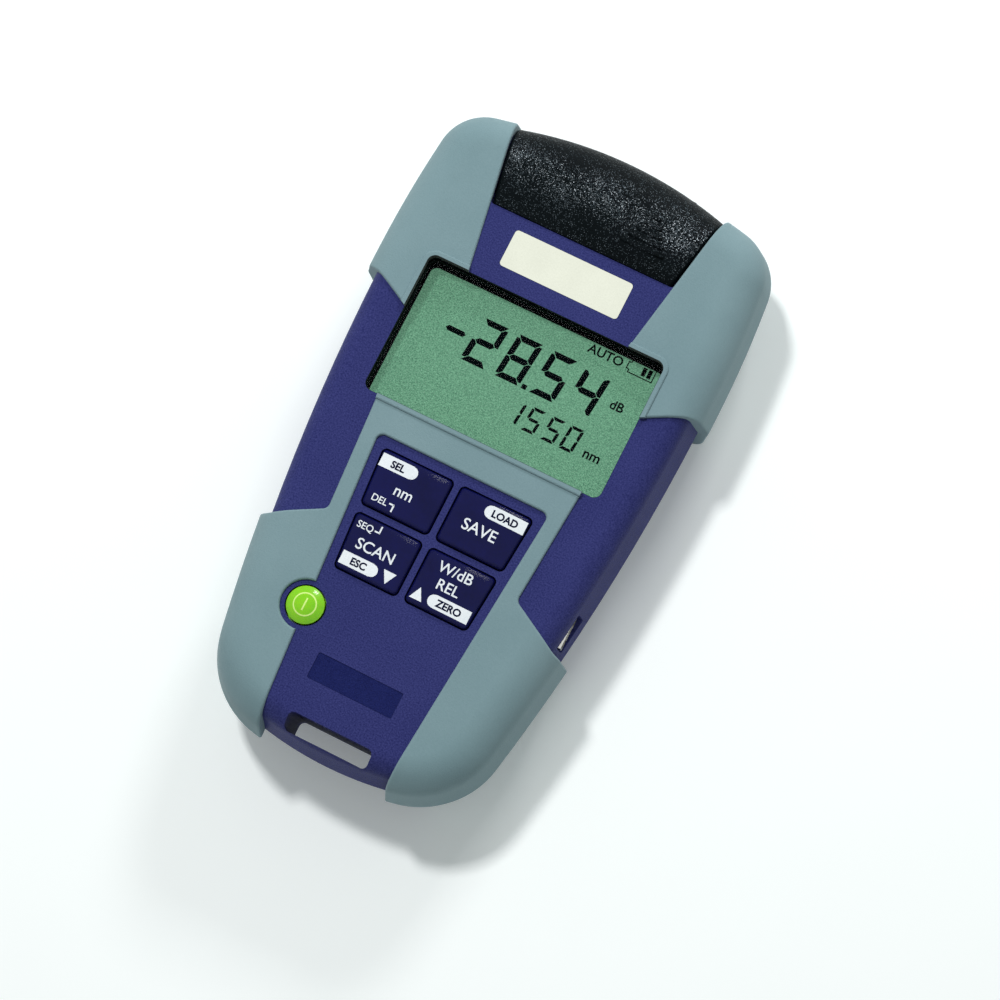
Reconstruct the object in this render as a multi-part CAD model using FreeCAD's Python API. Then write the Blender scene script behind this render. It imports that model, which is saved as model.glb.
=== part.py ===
import FreeCAD, Part
import math
import os

# Handheld optical power meter, lying on its back.
# X runs to the right, Y towards the end with the optical port, Z out of the face.
# The parting plane between the two shells is horizontal. All lengths are millimetres.

V = FreeCAD.Vector

# Bare shells in plan. The sides, the ends and the corners are tangent arcs.
shell_half_width = 38.95
widest_y = 33.0
top_end_y = 70.95
bottom_end_y = -72.3
side_radius_upper = 255.0
side_radius_lower = 490.0
top_end_radius = 140.0
bottom_end_radius = 80.0
top_corner_radius = 10.0
bottom_corner_radius = 18.0

# Heights
foot_height = 0.8            # the rear bumpers hold the back of the shell off the table
parting_z = 16.6
face_z = 30.0
front_draft = 10.0           # degrees, above the parting plane
rear_draft = 6.0
front_edge_radius = 5.0
back_edge_radius = 5.0

# Walls
face_wall = 2.4
side_wall = 2.4
back_wall = 3.0
inner_wall = 1.6             # ribs, bay walls and tunnel walls
skirt_edge_radius = 3.0      # inner edge of the hollow

# Overmoulded bumpers
bumper_side = 2.2
bumper_rise = 0.8
bumper_seat = 0.5            # depth of the rebate that holds the rubber
bumper_front_radius = 8.0
bumper_lip_radius = 0.5

# Display opening, seen from the front
display_half_width = 27.7
display_bottom_y = 1.96
display_height = 32.14
display_corner_radius = 1.8
display_lip_width = 1.2
display_lip_rise = 0.5
display_edge_wall = 1.0      # the face is thinned to this over the window
window_overlap = 2.4
window_thickness = 1.05
window_gap = 0.05
bezel_width = 2.7
bezel_top_mask = 0.15        # the bezel hides this much more at its upper edge
lcd_margin = 1.0
lcd_depth = 5.2              # glass below the face

# Slanted edges of the top bumpers and of the bay under the end cover
bay_edge_x = 18.87           # at the display's upper edge
bay_edge_slope = 0.1745
bay_start_y = 49.8
top_bumper_inner_y = 21.4
top_bumper_knee = (36.1, 25.9)
top_bumper_outer_y = 29.4
top_knee_radius = 6.0

# Lower bumper
band_half_width = 24.1
band_waist = (22.2, -24.6)
lower_bumper_knee = (33.5, -30.8)
lower_bumper_outer_y = -33.6
waist_radius = 1.6
lower_knee_radius = 5.0
rear_corner_radius = 3.0
past_case = 8.0              # cutting outlines reach this far past the shells

# Keypad panel
panel_top_y = -5.36
panel_half_width = 20.0
panel_taper = 0.079
panel_corner_radius = 1.5
key_margin = 2.35
key_top_y = -7.94
key_height_upper = 12.42
key_height_lower = 12.3
key_web = 2.12
key_corner_radius = 0.9
key_gap = 0.35
key_rise = 1.0
key_crown_radius = 70.0
key_edge_radius = 0.8
flange_width = 0.7
flange_thickness = 1.1
flange_gap = 0.3
key_travel = 0.6

# Power button
power_x = -17.0
power_y = -44.85
power_radius = 4.05
power_dome = 1.25
power_collar_radius = 5.4

# Plates
plate_half_width = 13.9
plate_bottom_y = 38.35
plate_height = 8.55
plate_thickness = 0.5
inlay_half_width = 9.8
inlay_bottom_y = -58.05
inlay_height = 5.75
inlay_thickness = 0.35
inlay_sink = 0.15
plate_corner_radius = 0.8
seat_gap = 0.05              # round anything let into a pocket

# Strap slot
slot_half_width = 9.7
slot_top_y = -65.6
slot_width = 4.2
slot_edge_radius = 1.3
scoop_start_y = -58.5
scoop_depth = 8.7
scoop_half_width = 19.6
scoop_run = 5.0

# End cover and its hinge
cover_end_y = 71.4
cover_front_z = 30.4
cover_wall = 2.0
cover_gap = 0.5
cover_shoulder_gap = 0.15
cover_round = 9.0
cover_skirt_z = 17.1
ledge_depth = 2.2
shoulder_overlap = 1.0       # the bulkhead reaches this far under the face
rib_count = 5
rib_radius = 0.45
rib_pitch = 1.8
rib_first_y = 54.7
rib_first_width = 10.0
rib_centre_x = 11.9
hinge_y = 72.3
hinge_z = 12.6
hinge_pin_radius = 1.0
hinge_running_gap = 0.05
hinge_barrel_radius = 1.8
hinge_side_gap = 0.3
lug_half_width = 11.0
lug_root_depth = 4.0         # the lug grows out of the end wall from this far inside
ear_width = 4.5
ear_web_height = 3.6         # the web of the ear runs this far up the end wall

# Optical port
port_z = 22.4
port_flange = (17.8, 9.6, 2.0)
port_barrel_radius = 4.3
port_barrel_length = 13.0
port_screw_spacing = 13.2
ferrule_bore_radius = 1.26
sleeve_wall = 0.55
detector_radius = 3.6
detector_length = 5.6
detector_spigot_radius = 2.7

# Board, switches and socket
board_thickness = 1.6
board_top_z = 20.6
board_top_y = 42.6
board_bottom_y = -57.0
board_side_gap = 1.2
switch_size = 6.2
switch_height = 3.5
plunger_radius = 1.7
plunger_gap = 0.2
plunger_depth = 0.9
usb_y = -25.0
usb_length = 7.7
usb_height = 3.9
usb_depth = 8.6
usb_wall = 0.4
usb_recess = 0.3
usb_port_gap = 0.35
# Packages under the board: centre x, centre y, width, depth, height
chip_table = [(24.5, 18.0, 7.0, 7.0, 1.4), (-25.0, 14.0, 5.0, 10.0, 1.6), (25.5, 2.0, 5.0, 4.0, 1.2)]

# Batteries
cell_radius = 7.15
cell_length = 49.3
nub_radius = 2.7
nub_length = 1.2
cell_spread = 7.65
well_half_width = 15.1
well_top_y = 7.5
well_length = 57.0
well_clearance = 0.3
well_wall = 1.2
contact_thickness = 0.4
contact_width = 9.0

# Battery door, a plate with tongues that slide in grooves of the rear shell
door_thickness = 1.8
door_half_width = 17.4
door_top_y = 9.6
door_gap = 0.2
door_end_gap = 0.3
tongue_width = 1.0
tongue_thickness = 1.0
thumb_groove_radius = 1.2
thumb_groove_depth = 0.54
thumb_groove_count = 5
thumb_groove_pitch = 2.6
thumb_groove_half_width = 8.0

# Fasteners
boss_radius = 3.4
boss_hole_radius = 1.25
upper_boss_inset = (9.15, 14.95)       # from the widest side and from the end of the shell
lower_boss_inset = (14.45, 22.3)
upper_boss = (shell_half_width - upper_boss_inset[0], top_end_y - upper_boss_inset[1])
lower_boss = (shell_half_width - lower_boss_inset[0], bottom_end_y + lower_boss_inset[1])
shell_screw_head = (2.7, 2.0)      # radius, height
shell_screw_sink = 2.2
shell_screw_length = 16.0
pillar_radius = 2.4
upper_pillar = (shell_half_width - 5.75, 40.0)
lower_pillar = (shell_half_width - 7.75, -10.0)
board_screw_head = (1.9, 1.3)
board_screw_length = 6.0
port_screw_head = (1.7, 1.2)
port_screw_length = 3.6
small_shank_radius = 0.78          # threads into a 0.8 mm pilot
pilot_radius = 0.8
screw_clearance = 0.25


# ---- plan outlines -------------------------------------------------------

def crossing(c1, r1, c2, r2, upper):
    """Upper or lower crossing of two circles."""
    span = c2.sub(c1)
    d = span.Length
    along = (d * d + r1 * r1 - r2 * r2) / (2 * d)
    across = math.sqrt(r1 * r1 - along * along)
    foot = c1 + span * (along / d)
    side = V(-span.y, span.x, 0) * (across / d)
    low, high = sorted([foot + side, foot - side], key=lambda p: p.y)
    return high if upper else low


def arc(centre, radius, start, end):
    """Minor arc about a centre, between two directions given as points."""
    a = start.sub(centre).normalize()
    b = end.sub(centre).normalize()
    middle = (a + b).normalize()
    return Part.Arc(centre + a * radius, centre + middle * radius, centre + b * radius).toShape()


def mirrored(point):
    return V(-point.x, point.y, point.z)


def outline(grow, z):
    """Closed plan outline of the shells, moved outwards by grow, at height z."""
    low = V(shell_half_width - side_radius_lower, widest_y, 0)
    high = V(shell_half_width - side_radius_upper, widest_y, 0)
    top = V(0, top_end_y - top_end_radius, 0)
    bottom = V(0, bottom_end_y + bottom_end_radius, 0)
    top_corner = crossing(high, side_radius_upper - top_corner_radius,
                          top, top_end_radius - top_corner_radius, True)
    bottom_corner = crossing(low, side_radius_lower - bottom_corner_radius,
                             bottom, bottom_end_radius - bottom_corner_radius, False)
    waist = V(shell_half_width, widest_y, 0)

    def far(centre, corner):
        return centre + (corner.sub(centre)) * 2

    right = [
        arc(bottom_corner, bottom_corner_radius + grow, far(bottom, bottom_corner), far(low, bottom_corner)),
        arc(low, side_radius_lower + grow, bottom_corner, waist),
        arc(high, side_radius_upper + grow, waist, top_corner),
        arc(top_corner, top_corner_radius + grow, far(high, top_corner), far(top, top_corner)),
    ]
    left = [mirror_x(edge) for edge in right]
    ends = [
        arc(top, top_end_radius + grow, top_corner, mirrored(top_corner)),
        arc(bottom, bottom_end_radius + grow, bottom_corner, mirrored(bottom_corner)),
    ]
    wire = Part.Wire(Part.__sortEdges__(right + left + ends))
    wire.translate(V(0, 0, z))
    return wire


def polygon(points, radii, z):
    """Closed polygon at height z with a rounded corner of its own radius at each point."""
    if not hasattr(radii, "__len__"):
        radii = [radii] * len(points)
    count = len(points)
    corners = [V(p[0], p[1], z) for p in points]
    edges = []
    exits = []
    for i in range(count):
        here = corners[i]
        back = corners[i - 1].sub(here).normalize()
        ahead = corners[(i + 1) % count].sub(here).normalize()
        if radii[i] <= 0:
            exits.append((here, here, None))
            continue
        half = back.getAngle(ahead) / 2
        reach = radii[i] / math.tan(half)
        middle = (back + ahead).normalize()
        centre = here + middle * (radii[i] / math.sin(half))
        exits.append((here + back * reach, here + ahead * reach, centre - middle * radii[i]))
    for i in range(count):
        enter, leave, middle = exits[i]
        if middle is not None:
            edges.append(Part.Arc(enter, middle, leave).toShape())
        following = exits[(i + 1) % count][0]
        if leave.sub(following).Length > 1e-6:
            edges.append(Part.LineSegment(leave, following).toShape())
    return Part.Wire(edges)


def prism(wire, z_low, z_high):
    """Upright solid on a plan wire, between two heights."""
    flat = wire.copy()
    flat.translate(V(0, 0, z_low - flat.BoundBox.ZMin))
    return Part.Face(flat).extrude(V(0, 0, z_high - z_low))


def block(x0, y0, z0, x1, y1, z1):
    return Part.makeBox(x1 - x0, y1 - y0, z1 - z0, V(x0, y0, z0))


def plan_box(x0, y0, x1, y1, radius, z=0.0):
    return polygon([(x0, y0), (x1, y0), (x1, y1), (x0, y1)], radius, z)


def cylinder_z(x, y, z0, z1, radius):
    return Part.makeCylinder(radius, z1 - z0, V(x, y, z0))


def cylinder_y(x, z, y0, y1, radius):
    return Part.makeCylinder(radius, y1 - y0, V(x, y0, z), V(0, 1, 0))


def cylinder_x(y, z, x0, x1, radius):
    return Part.makeCylinder(radius, x1 - x0, V(x0, y, z), V(1, 0, 0))


def mirror_x(shape):
    return shape.mirror(V(0, 0, 0), V(1, 0, 0))


def fused(shapes):
    return shapes[0].fuse(shapes[1:]).removeSplitter()


def lean(z):
    """How far the drafted sides have come in at a height."""
    draft = front_draft if z > parting_z else rear_draft
    return abs(z - parting_z) * math.tan(math.radians(draft))


def half_body(grow, level, edge_radius):
    """One half of the case: a drafted block from the parting plane to a level, its rim rounded."""
    inset = lean(level)
    block_loft = Part.makeLoft([outline(grow, parting_z), outline(grow - inset, level)], True, True)
    rim = [e for e in block_loft.Edges
           if abs(e.BoundBox.ZMin - level) < 1e-4 and abs(e.BoundBox.ZMax - level) < 1e-4]
    return block_loft.makeFillet(edge_radius, rim)


# ---- shared curves -------------------------------------------------------

display_top_y = display_bottom_y + display_height


def bay_edge(y):
    """Half-width of the bay, which is also the inner edge of the top bumpers."""
    return bay_edge_x + bay_edge_slope * (y - display_top_y)


def panel_edge(y):
    """Half-width of the keypad panel."""
    return panel_half_width - panel_taper * (panel_top_y - y)


def display_plan(grow, mask=0.0):
    return plan_box(-display_half_width - grow, display_bottom_y - grow,
                    display_half_width + grow, display_top_y + grow - mask,
                    max(display_corner_radius + grow, 0.3))


def bay_plan(grow, start_y, gap=0.0):
    """Trapezium of the bay, widening towards the end, grown sideways and open at the top."""
    end_y = cover_end_y + past_case
    low = bay_edge(start_y) + grow - gap
    high = bay_edge(end_y) + grow - gap
    return polygon([(-low, start_y), (low, start_y), (high, end_y), (-high, end_y)],
                   [plate_corner_radius, plate_corner_radius, 0, 0], 0)


def key_plans():
    """Corner points of the four keys: name to a list of (x, y)."""
    upper_low = key_top_y - key_height_upper
    lower_high = upper_low - key_web
    lower_low = lower_high - key_height_lower
    inner = key_web / 2
    plans = {}
    for row, top_y, low_y in (("upper", key_top_y, upper_low), ("lower", lower_high, lower_low)):
        right = [(inner, low_y), (panel_edge(low_y) - key_margin, low_y),
                 (panel_edge(top_y) - key_margin, top_y), (inner, top_y)]
        plans[row, "right"] = right
        plans[row, "left"] = [(-x, y) for x, y in reversed(right)]
    return plans


key_names = {("upper", "left"): "wavelength", ("upper", "right"): "memory",
             ("lower", "left"): "scan", ("lower", "right"): "unit"}


def grown(points, grow):
    """Convex corner points moved outwards by grow along both of their edges."""
    count = len(points)
    moved = []
    for i in range(count):
        here = V(points[i][0], points[i][1], 0)
        back = here.sub(V(points[i - 1][0], points[i - 1][1], 0)).normalize()
        ahead = V(points[(i + 1) % count][0], points[(i + 1) % count][1], 0).sub(here).normalize()
        shift = (back - ahead) * (grow / back.cross(ahead).Length)
        moved.append((here.x + shift.x, here.y + shift.y))
    return moved


def centre_of(points):
    return (sum(p[0] for p in points) / len(points), sum(p[1] for p in points) / len(points))


face_inner_z = face_z - face_wall
flange_top_z = face_inner_z - flange_gap
flange_low_z = flange_top_z - flange_thickness
switch_top_z = board_top_z + switch_height
stem_low_z = switch_top_z + key_travel + plunger_depth
board_low_z = board_top_z - board_thickness


# ---- bumpers -------------------------------------------------------------

def top_bumper_plan():
    """Right-hand top bumper, seen from the front."""
    outer = shell_half_width + past_case
    end_y = top_end_y + past_case
    return polygon([(bay_edge(display_top_y - 1), display_top_y - 1),
                    (display_half_width - 1, display_top_y - 1),
                    (display_half_width - 1, top_bumper_inner_y - 0.5),
                    top_bumper_knee, (outer, top_bumper_outer_y),
                    (outer, end_y), (bay_edge(end_y), end_y)],
                   [0, 0, 0, top_knee_radius, 0, 0, 0], 0)


def lower_bumper_plan():
    """Lower bumper, seen from the front: the band round the keypad and both corners."""
    outer = shell_half_width + past_case
    low_y = bottom_end_y - past_case
    right = [(band_half_width, display_bottom_y + 1), band_waist, lower_bumper_knee,
             (outer, lower_bumper_outer_y), (outer, low_y)]
    left = [(-x, y) for x, y in reversed(right)]
    radii = [0, waist_radius, lower_knee_radius, 0, 0]
    return polygon(right + left, radii + radii[::-1], 0)


def panel_plan(grow=0.0):
    low_y = bottom_end_y - past_case - 1
    return polygon([(-panel_edge(low_y) - grow, low_y), (panel_edge(low_y) + grow, low_y),
                    (panel_edge(panel_top_y) + grow, panel_top_y + grow),
                    (-panel_edge(panel_top_y) - grow, panel_top_y + grow)],
                   [0, 0, panel_corner_radius, panel_corner_radius], 0)


def soft_edges(shape, level):
    """Edges where the flat front of a bumper meets an upright cut face."""
    chosen = []
    for edge in shape.Edges:
        box = edge.BoundBox
        if abs(box.ZMin - level) > 1e-4 or abs(box.ZMax - level) > 1e-4:
            continue
        faces = shape.ancestorsOfType(edge, Part.Face)
        upright = [f for f in faces if abs(f.normalAt(0.5, 0.5).z) < 0.05]
        if upright and len(faces) == 2:
            chosen.append(edge)
    return chosen


def display_lip():
    """Low raised rim round the display, which only the rubber carries."""
    top = face_z + bumper_rise + display_lip_rise
    rim = prism(display_plan(display_lip_width), face_z, top)
    rim = rim.makeFillet(0.45, [e for e in rim.Edges if e.BoundBox.ZMin > top - 1e-4])
    return rim


def front_bumpers():
    """The three front bumpers: top left, top right and the lower one."""
    skin = half_body(bumper_side, face_z + bumper_rise, bumper_front_radius)
    seat = half_body(-bumper_seat, face_z - bumper_seat, front_edge_radius)
    rubber = skin.cut(seat)
    low, high = parting_z - 1, face_z + 4
    opening = prism(display_plan(0), low, high)
    lip = display_lip()
    level = face_z + bumper_rise

    top_region = prism(top_bumper_plan(), low, high)
    top = rubber.common(top_region).cut(opening)
    top = top.makeFillet(bumper_lip_radius, [e for e in soft_edges(top, level)
                                             if not on_display_edge(e)])
    top = top.fuse(lip.common(top_region)).cut(opening).removeSplitter()

    lower_region = prism(lower_bumper_plan(), low, high).cut(prism(panel_plan(), low, high))
    lower_region = lower_region.cut(cylinder_z(power_x, power_y, low, high, power_collar_radius))
    lower = rubber.common(lower_region).cut(opening)
    lower = lower.makeFillet(bumper_lip_radius, [e for e in soft_edges(lower, level)
                                                 if not on_display_edge(e)])
    lower = lower.fuse(lip.common(lower_region)).cut(opening).removeSplitter()
    return mirror_x(top), top, lower


def on_display_edge(edge):
    box = edge.BoundBox
    inside_x = max(abs(box.XMin), abs(box.XMax)) <= display_half_width + 1e-3
    return inside_x and box.YMin >= display_bottom_y - 1e-3 and box.YMax <= display_top_y + 1e-3


def rear_bumper_plans():
    """Right-hand rear bumpers, top and bottom, seen from the front."""
    outer = shell_half_width + past_case
    end_y = top_end_y + past_case
    low_y = bottom_end_y - past_case
    top = polygon([(bay_edge(bay_start_y), bay_start_y - 6), top_bumper_knee,
                   (outer, top_bumper_outer_y), (outer, end_y), (bay_edge(end_y), end_y)],
                  [rear_corner_radius, top_knee_radius, 0, 0, 0], 0)
    foot = scoop_half_width + 1.2
    bottom = polygon([(foot, low_y), (foot, lower_bumper_knee[1] - 14.0), lower_bumper_knee,
                      (outer, lower_bumper_outer_y), (outer, low_y)],
                     [0, rear_corner_radius, lower_knee_radius, 0, 0], 0)
    return top, bottom


def rear_bumpers():
    """Four rear bumpers, whose flat backs are the feet."""
    skin = half_body(bumper_side, 0.0, bumper_front_radius)
    seat = half_body(-bumper_seat, foot_height + bumper_seat, back_edge_radius)
    rubber = skin.cut(seat)
    pieces = []
    for plan, spot in zip(rear_bumper_plans(), (upper_boss, lower_boss)):
        right = rubber.common(prism(plan, -2, parting_z + 1))
        right = right.makeFillet(bumper_lip_radius, soft_edges(right, 0.0))
        right = right.cut(head_well(*spot))
        pieces += [mirror_x(right), right]
    return pieces


# ---- shells --------------------------------------------------------------

def strap_slot(grow, z_low, z_high):
    """Tunnel of the strap slot, through both shells."""
    low_y = slot_top_y - slot_width
    return prism(plan_box(-slot_half_width - grow, low_y - grow, slot_half_width + grow,
                          slot_top_y + grow, slot_edge_radius + grow), z_low, z_high)


def head_well(x, y):
    """Counterbore of a shell screw."""
    return cylinder_z(x, y, -1, foot_height + shell_screw_sink, shell_screw_head[0] + screw_clearance)


def boss_places(spots):
    return [(side * x, y) for x, y in spots for side in (-1, 1)]


def front_shell(rubber):
    core = half_body(0, face_z, front_edge_radius)
    hollow = half_body(-side_wall, face_inner_z, skirt_edge_radius)
    bay_walls = prism(bay_plan(inner_wall, bay_start_y - shoulder_overlap), parting_z, face_z)
    hollow = hollow.cut(bay_walls).cut(strap_slot(inner_wall, parting_z, face_z))
    shell = core.cut(hollow)

    added = []
    for x, y in boss_places([upper_boss, lower_boss]):
        added.append(cylinder_z(x, y, parting_z, face_inner_z + 0.5, boss_radius))
    for x, y in boss_places([upper_pillar, lower_pillar]):
        added.append(cylinder_z(x, y, board_top_z, face_inner_z + 0.5, pillar_radius))
    shell = fused([shell] + added)

    ledge_z = cover_front_z - cover_wall - cover_shoulder_gap
    cuts = [prism(bay_plan(0, bay_start_y), ledge_z, face_z + 4),
            prism(bay_plan(0, bay_start_y + ledge_depth), parting_z - 1, face_z + 4),
            cylinder_y(0, port_z, bay_start_y - 4, bay_start_y + 4, detector_spigot_radius + seat_gap),
            strap_slot(0, parting_z - 1, face_z + 1),
            prism(display_plan(0), face_inner_z - 1, face_z + 1),
            prism(display_plan(window_overlap + 3 * seat_gap + 0.35), face_inner_z - 1,
                  face_z - display_edge_wall)]
    for side in (-1, 1):
        x = side * port_screw_spacing / 2
        cuts.append(cylinder_y(x, port_z, bay_start_y - 4, bay_start_y + 4, pilot_radius))
    for x, y in boss_places([upper_boss, lower_boss]):
        cuts.append(cylinder_z(x, y, parting_z - 1, shell_screw_tip_z() + 1, boss_hole_radius))
    for x, y in boss_places([upper_pillar, lower_pillar]):
        cuts.append(cylinder_z(x, y, board_top_z - 1, board_top_z + board_screw_length, pilot_radius))
    for plan in key_plans().values():
        cuts.append(prism(polygon(grown(plan, key_gap), key_corner_radius + key_gap, 0),
                          face_inner_z - 1, face_z + 1))
    cuts.append(cylinder_z(power_x, power_y, face_inner_z - 1, face_z + 1, power_radius + key_gap))
    cuts.append(prism(plate_outline(seat_gap), face_z - plate_thickness, face_z + 1))
    cuts.append(prism(inlay_outline(seat_gap), face_z - inlay_thickness - inlay_sink, face_z + 1))
    cuts.append(usb_opening())
    return shell.cut(cuts).cut(rubber).removeSplitter()


def usb_centre_z():
    return board_top_z + usb_height / 2


def side_at(y, z):
    """Half-width of the bare shell at a height."""
    bow = side_radius_lower - math.sqrt(side_radius_lower ** 2 - (y - widest_y) ** 2)
    return shell_half_width - bow - lean(z)


def usb_opening():
    z = usb_centre_z()
    x = side_at(usb_y, z)
    half_y = usb_length / 2 + usb_port_gap
    half_z = usb_height / 2 + usb_port_gap
    hole = block(x - side_wall - 4, usb_y - half_y, z - half_z, x + 3, usb_y + half_y, z + half_z)
    return hole.makeFillet(0.5, [e for e in hole.Edges if abs(e.Length - (side_wall + 7)) < 1e-4])


def plate_outline(grow):
    return plan_box(-plate_half_width - grow, plate_bottom_y - grow, plate_half_width + grow,
                    plate_bottom_y + plate_height + grow, plate_corner_radius)


def inlay_outline(grow):
    return plan_box(-inlay_half_width - grow, inlay_bottom_y - grow, inlay_half_width + grow,
                    inlay_bottom_y + inlay_height + grow, plate_corner_radius / 2)


def scoop(grow):
    """Ramp at the lower end of the back, which leaves room for a strap behind the bar."""
    z = foot_height + scoop_depth + grow
    start = scoop_start_y + grow
    end = bottom_end_y - 10
    side = scoop_half_width + grow
    points = [V(-side, start, -2), V(-side, start, foot_height), V(-side, start - scoop_run, z),
              V(-side, end, z), V(-side, end, -2)]
    wire = Part.makePolygon(points + [points[0]])
    return Part.Face(wire).extrude(V(2 * side, 0, 0))


def well_low_y():
    return well_top_y - well_length


def cell_z():
    return foot_height + door_thickness + well_clearance + cell_radius


def well_ceiling_z():
    return cell_z() + cell_radius + well_clearance


def door_channel(grow):
    """Space of the door and its tongues, open towards the lower end."""
    top = door_top_y + grow
    low = scoop_start_y - 6
    plate_top = foot_height + door_thickness + grow
    body = block(-door_half_width - grow, low, -1, door_half_width + grow, top, plate_top)
    wide = door_half_width + tongue_width + grow
    tongue = block(-wide, low, plate_top - tongue_thickness - 2 * grow, wide, top, plate_top)
    return body.fuse(tongue)


def rear_shell(rubber):
    core = half_body(0, foot_height, back_edge_radius)
    hollow = half_body(-side_wall, foot_height + back_wall, skirt_edge_radius)
    deck = prism(bay_plan(inner_wall, bay_start_y - 2), parting_z - inner_wall, parting_z)
    hollow = hollow.cut(deck).cut(scoop(inner_wall)).cut(strap_slot(inner_wall, 0, parting_z))
    shell = core.cut(hollow)

    well = block(-well_half_width - well_wall, well_low_y() - well_wall, foot_height + 1,
                 well_half_width + well_wall, well_top_y + well_wall, well_ceiling_z() + well_wall)
    added = [well]
    for x, y in boss_places([upper_boss, lower_boss]):
        added.append(cylinder_z(x, y, foot_height + 1, parting_z, boss_radius))
    added.append(lug(-lug_half_width, lug_half_width))
    shell = fused([shell] + added)

    cuts = [block(-well_half_width, well_low_y(), foot_height + door_thickness - 0.5,
                  well_half_width, well_top_y, well_ceiling_z()),
            door_channel(door_gap), scoop(0), strap_slot(0, 0, parting_z + 1),
            cylinder_x(hinge_y, hinge_z, -shell_half_width, shell_half_width, hinge_pin_radius)]
    for x, y in boss_places([upper_boss, lower_boss]):
        cuts.append(head_well(x, y))
        cuts.append(cylinder_z(x, y, -1, parting_z + 1, boss_hole_radius + screw_clearance))
    return shell.cut(cuts).cut(rubber).removeSplitter()


def lug(x0, x1):
    """Hinge lug: an eye on a gusset that grows out of the end face."""
    eye = cylinder_x(hinge_y, hinge_z, x0, x1, hinge_barrel_radius)
    root_y = top_end_y - lug_root_depth
    diagonal = hinge_barrel_radius * math.sqrt(0.5)
    points = [V(x0, hinge_y, hinge_z + hinge_barrel_radius), V(x0, root_y, hinge_z + hinge_barrel_radius),
              V(x0, root_y, hinge_z - 2 * hinge_barrel_radius - lug_root_depth),
              V(x0, hinge_y + diagonal, hinge_z - diagonal)]
    root = Part.Face(Part.makePolygon(points + [points[0]])).extrude(V(x1 - x0, 0, 0))
    return eye.fuse(root)


# ---- end cover -----------------------------------------------------------

def cover_plan(inset, start_y):
    """Plan of the cover: slanted sides and a bowed end."""
    end_y = cover_end_y - inset
    radius = top_end_radius
    centre = V(0, end_y - radius, 0)

    def side_point(y):
        return V(bay_edge(y) - cover_gap - inset, y, 0)

    low = side_point(start_y)
    high = side_point(end_y)
    high = V(high.x, centre.y + math.sqrt(radius ** 2 - high.x ** 2), 0)
    edges = [Part.LineSegment(mirrored(low), low).toShape(), Part.LineSegment(low, high).toShape(),
             arc(centre, radius, high, mirrored(high)), Part.LineSegment(mirrored(high), mirrored(low)).toShape()]
    return Part.Wire(edges)


def rounded_block(wire, z_low, z_high, end_y, end_radius, side_radius):
    """Prism whose upper end edge gets a large radius and whose upper side edges a small one."""
    solid = prism(wire, z_low, z_high)
    top = [e for e in solid.Edges if e.BoundBox.ZMin > z_high - 1e-4]
    end = [e for e in top if e.BoundBox.YMax > end_y - 1e-3 and e.BoundBox.XLength > 10]
    solid = solid.makeFillet(end_radius, end)
    if side_radius:
        sides = [e for e in solid.Edges
                 if e.BoundBox.ZMin > z_high - 1e-4 and e.BoundBox.XLength < 8 and e.BoundBox.YLength > 5]
        solid = solid.makeFillet(side_radius, sides)
    return solid


def end_cover():
    start = bay_start_y + cover_shoulder_gap
    outer = rounded_block(cover_plan(0, start), cover_skirt_z, cover_front_z, cover_end_y,
                          cover_round, 0.8)
    inner_end = cover_end_y - cover_wall
    inner = rounded_block(cover_plan(cover_wall, start - 5), cover_skirt_z - 1, cover_front_z - cover_wall,
                          inner_end, cover_round - cover_wall, 0)
    shell = outer.cut(inner)
    # The sides stop above the ledge of the front shell, so only the front plate lies on it.
    ledge = block(-shell_half_width, start - 1, cover_skirt_z - 2, shell_half_width,
                  bay_start_y + ledge_depth + cover_gap,
                  cover_front_z - cover_wall)
    shell = shell.cut(ledge)

    ribs = []
    for i in range(rib_count):
        width = rib_first_width * (1 - i / rib_count)
        y = rib_first_y + i * rib_pitch
        ribs.append(cylinder_x(y, cover_front_z - 0.05, rib_centre_x - width / 2,
                               rib_centre_x + width / 2, rib_radius))
    ears = []
    for side in (-1, 1):
        inner_x = lug_half_width + hinge_side_gap
        x0 = inner_x if side > 0 else -inner_x - ear_width
        ears.append(ear(x0, x0 + ear_width))
    shell = fused([shell] + ribs + ears)

    # Room for the lug of the rear shell, and the running bore of the hinge.
    reach = lug_half_width + hinge_side_gap
    cuts = [cylinder_x(hinge_y, hinge_z, -reach, reach, hinge_barrel_radius + 2 * hinge_side_gap),
            cylinder_x(hinge_y, hinge_z, -shell_half_width, shell_half_width,
                       hinge_pin_radius + hinge_running_gap)]
    return shell.cut(cuts).removeSplitter()


def ear(x0, x1):
    """Hinge ear of the cover: an eye joined to the end wall above it."""
    eye = cylinder_x(hinge_y, hinge_z, x0, x1, hinge_barrel_radius)
    web_top = cover_skirt_z + ear_web_height
    inner_y = cover_end_y - 1.5 * cover_wall
    eye_y = hinge_y - 0.95 * hinge_barrel_radius
    points = [V(x0, hinge_y + hinge_barrel_radius, hinge_z), V(x0, cover_end_y - cover_wall / 2, web_top),
              V(x0, inner_y, web_top), V(x0, inner_y, cover_skirt_z + cover_gap),
              V(x0, eye_y, cover_skirt_z), V(x0, eye_y, hinge_z)]
    web = Part.Face(Part.makePolygon(points + [points[0]])).extrude(V(x1 - x0, 0, 0))
    return eye.fuse(web)


def cover_hinge_pin():
    half = lug_half_width + hinge_side_gap + ear_width
    return cylinder_x(hinge_y, hinge_z, -half, half, hinge_pin_radius - 0.005)


# ---- optical port --------------------------------------------------------

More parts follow.
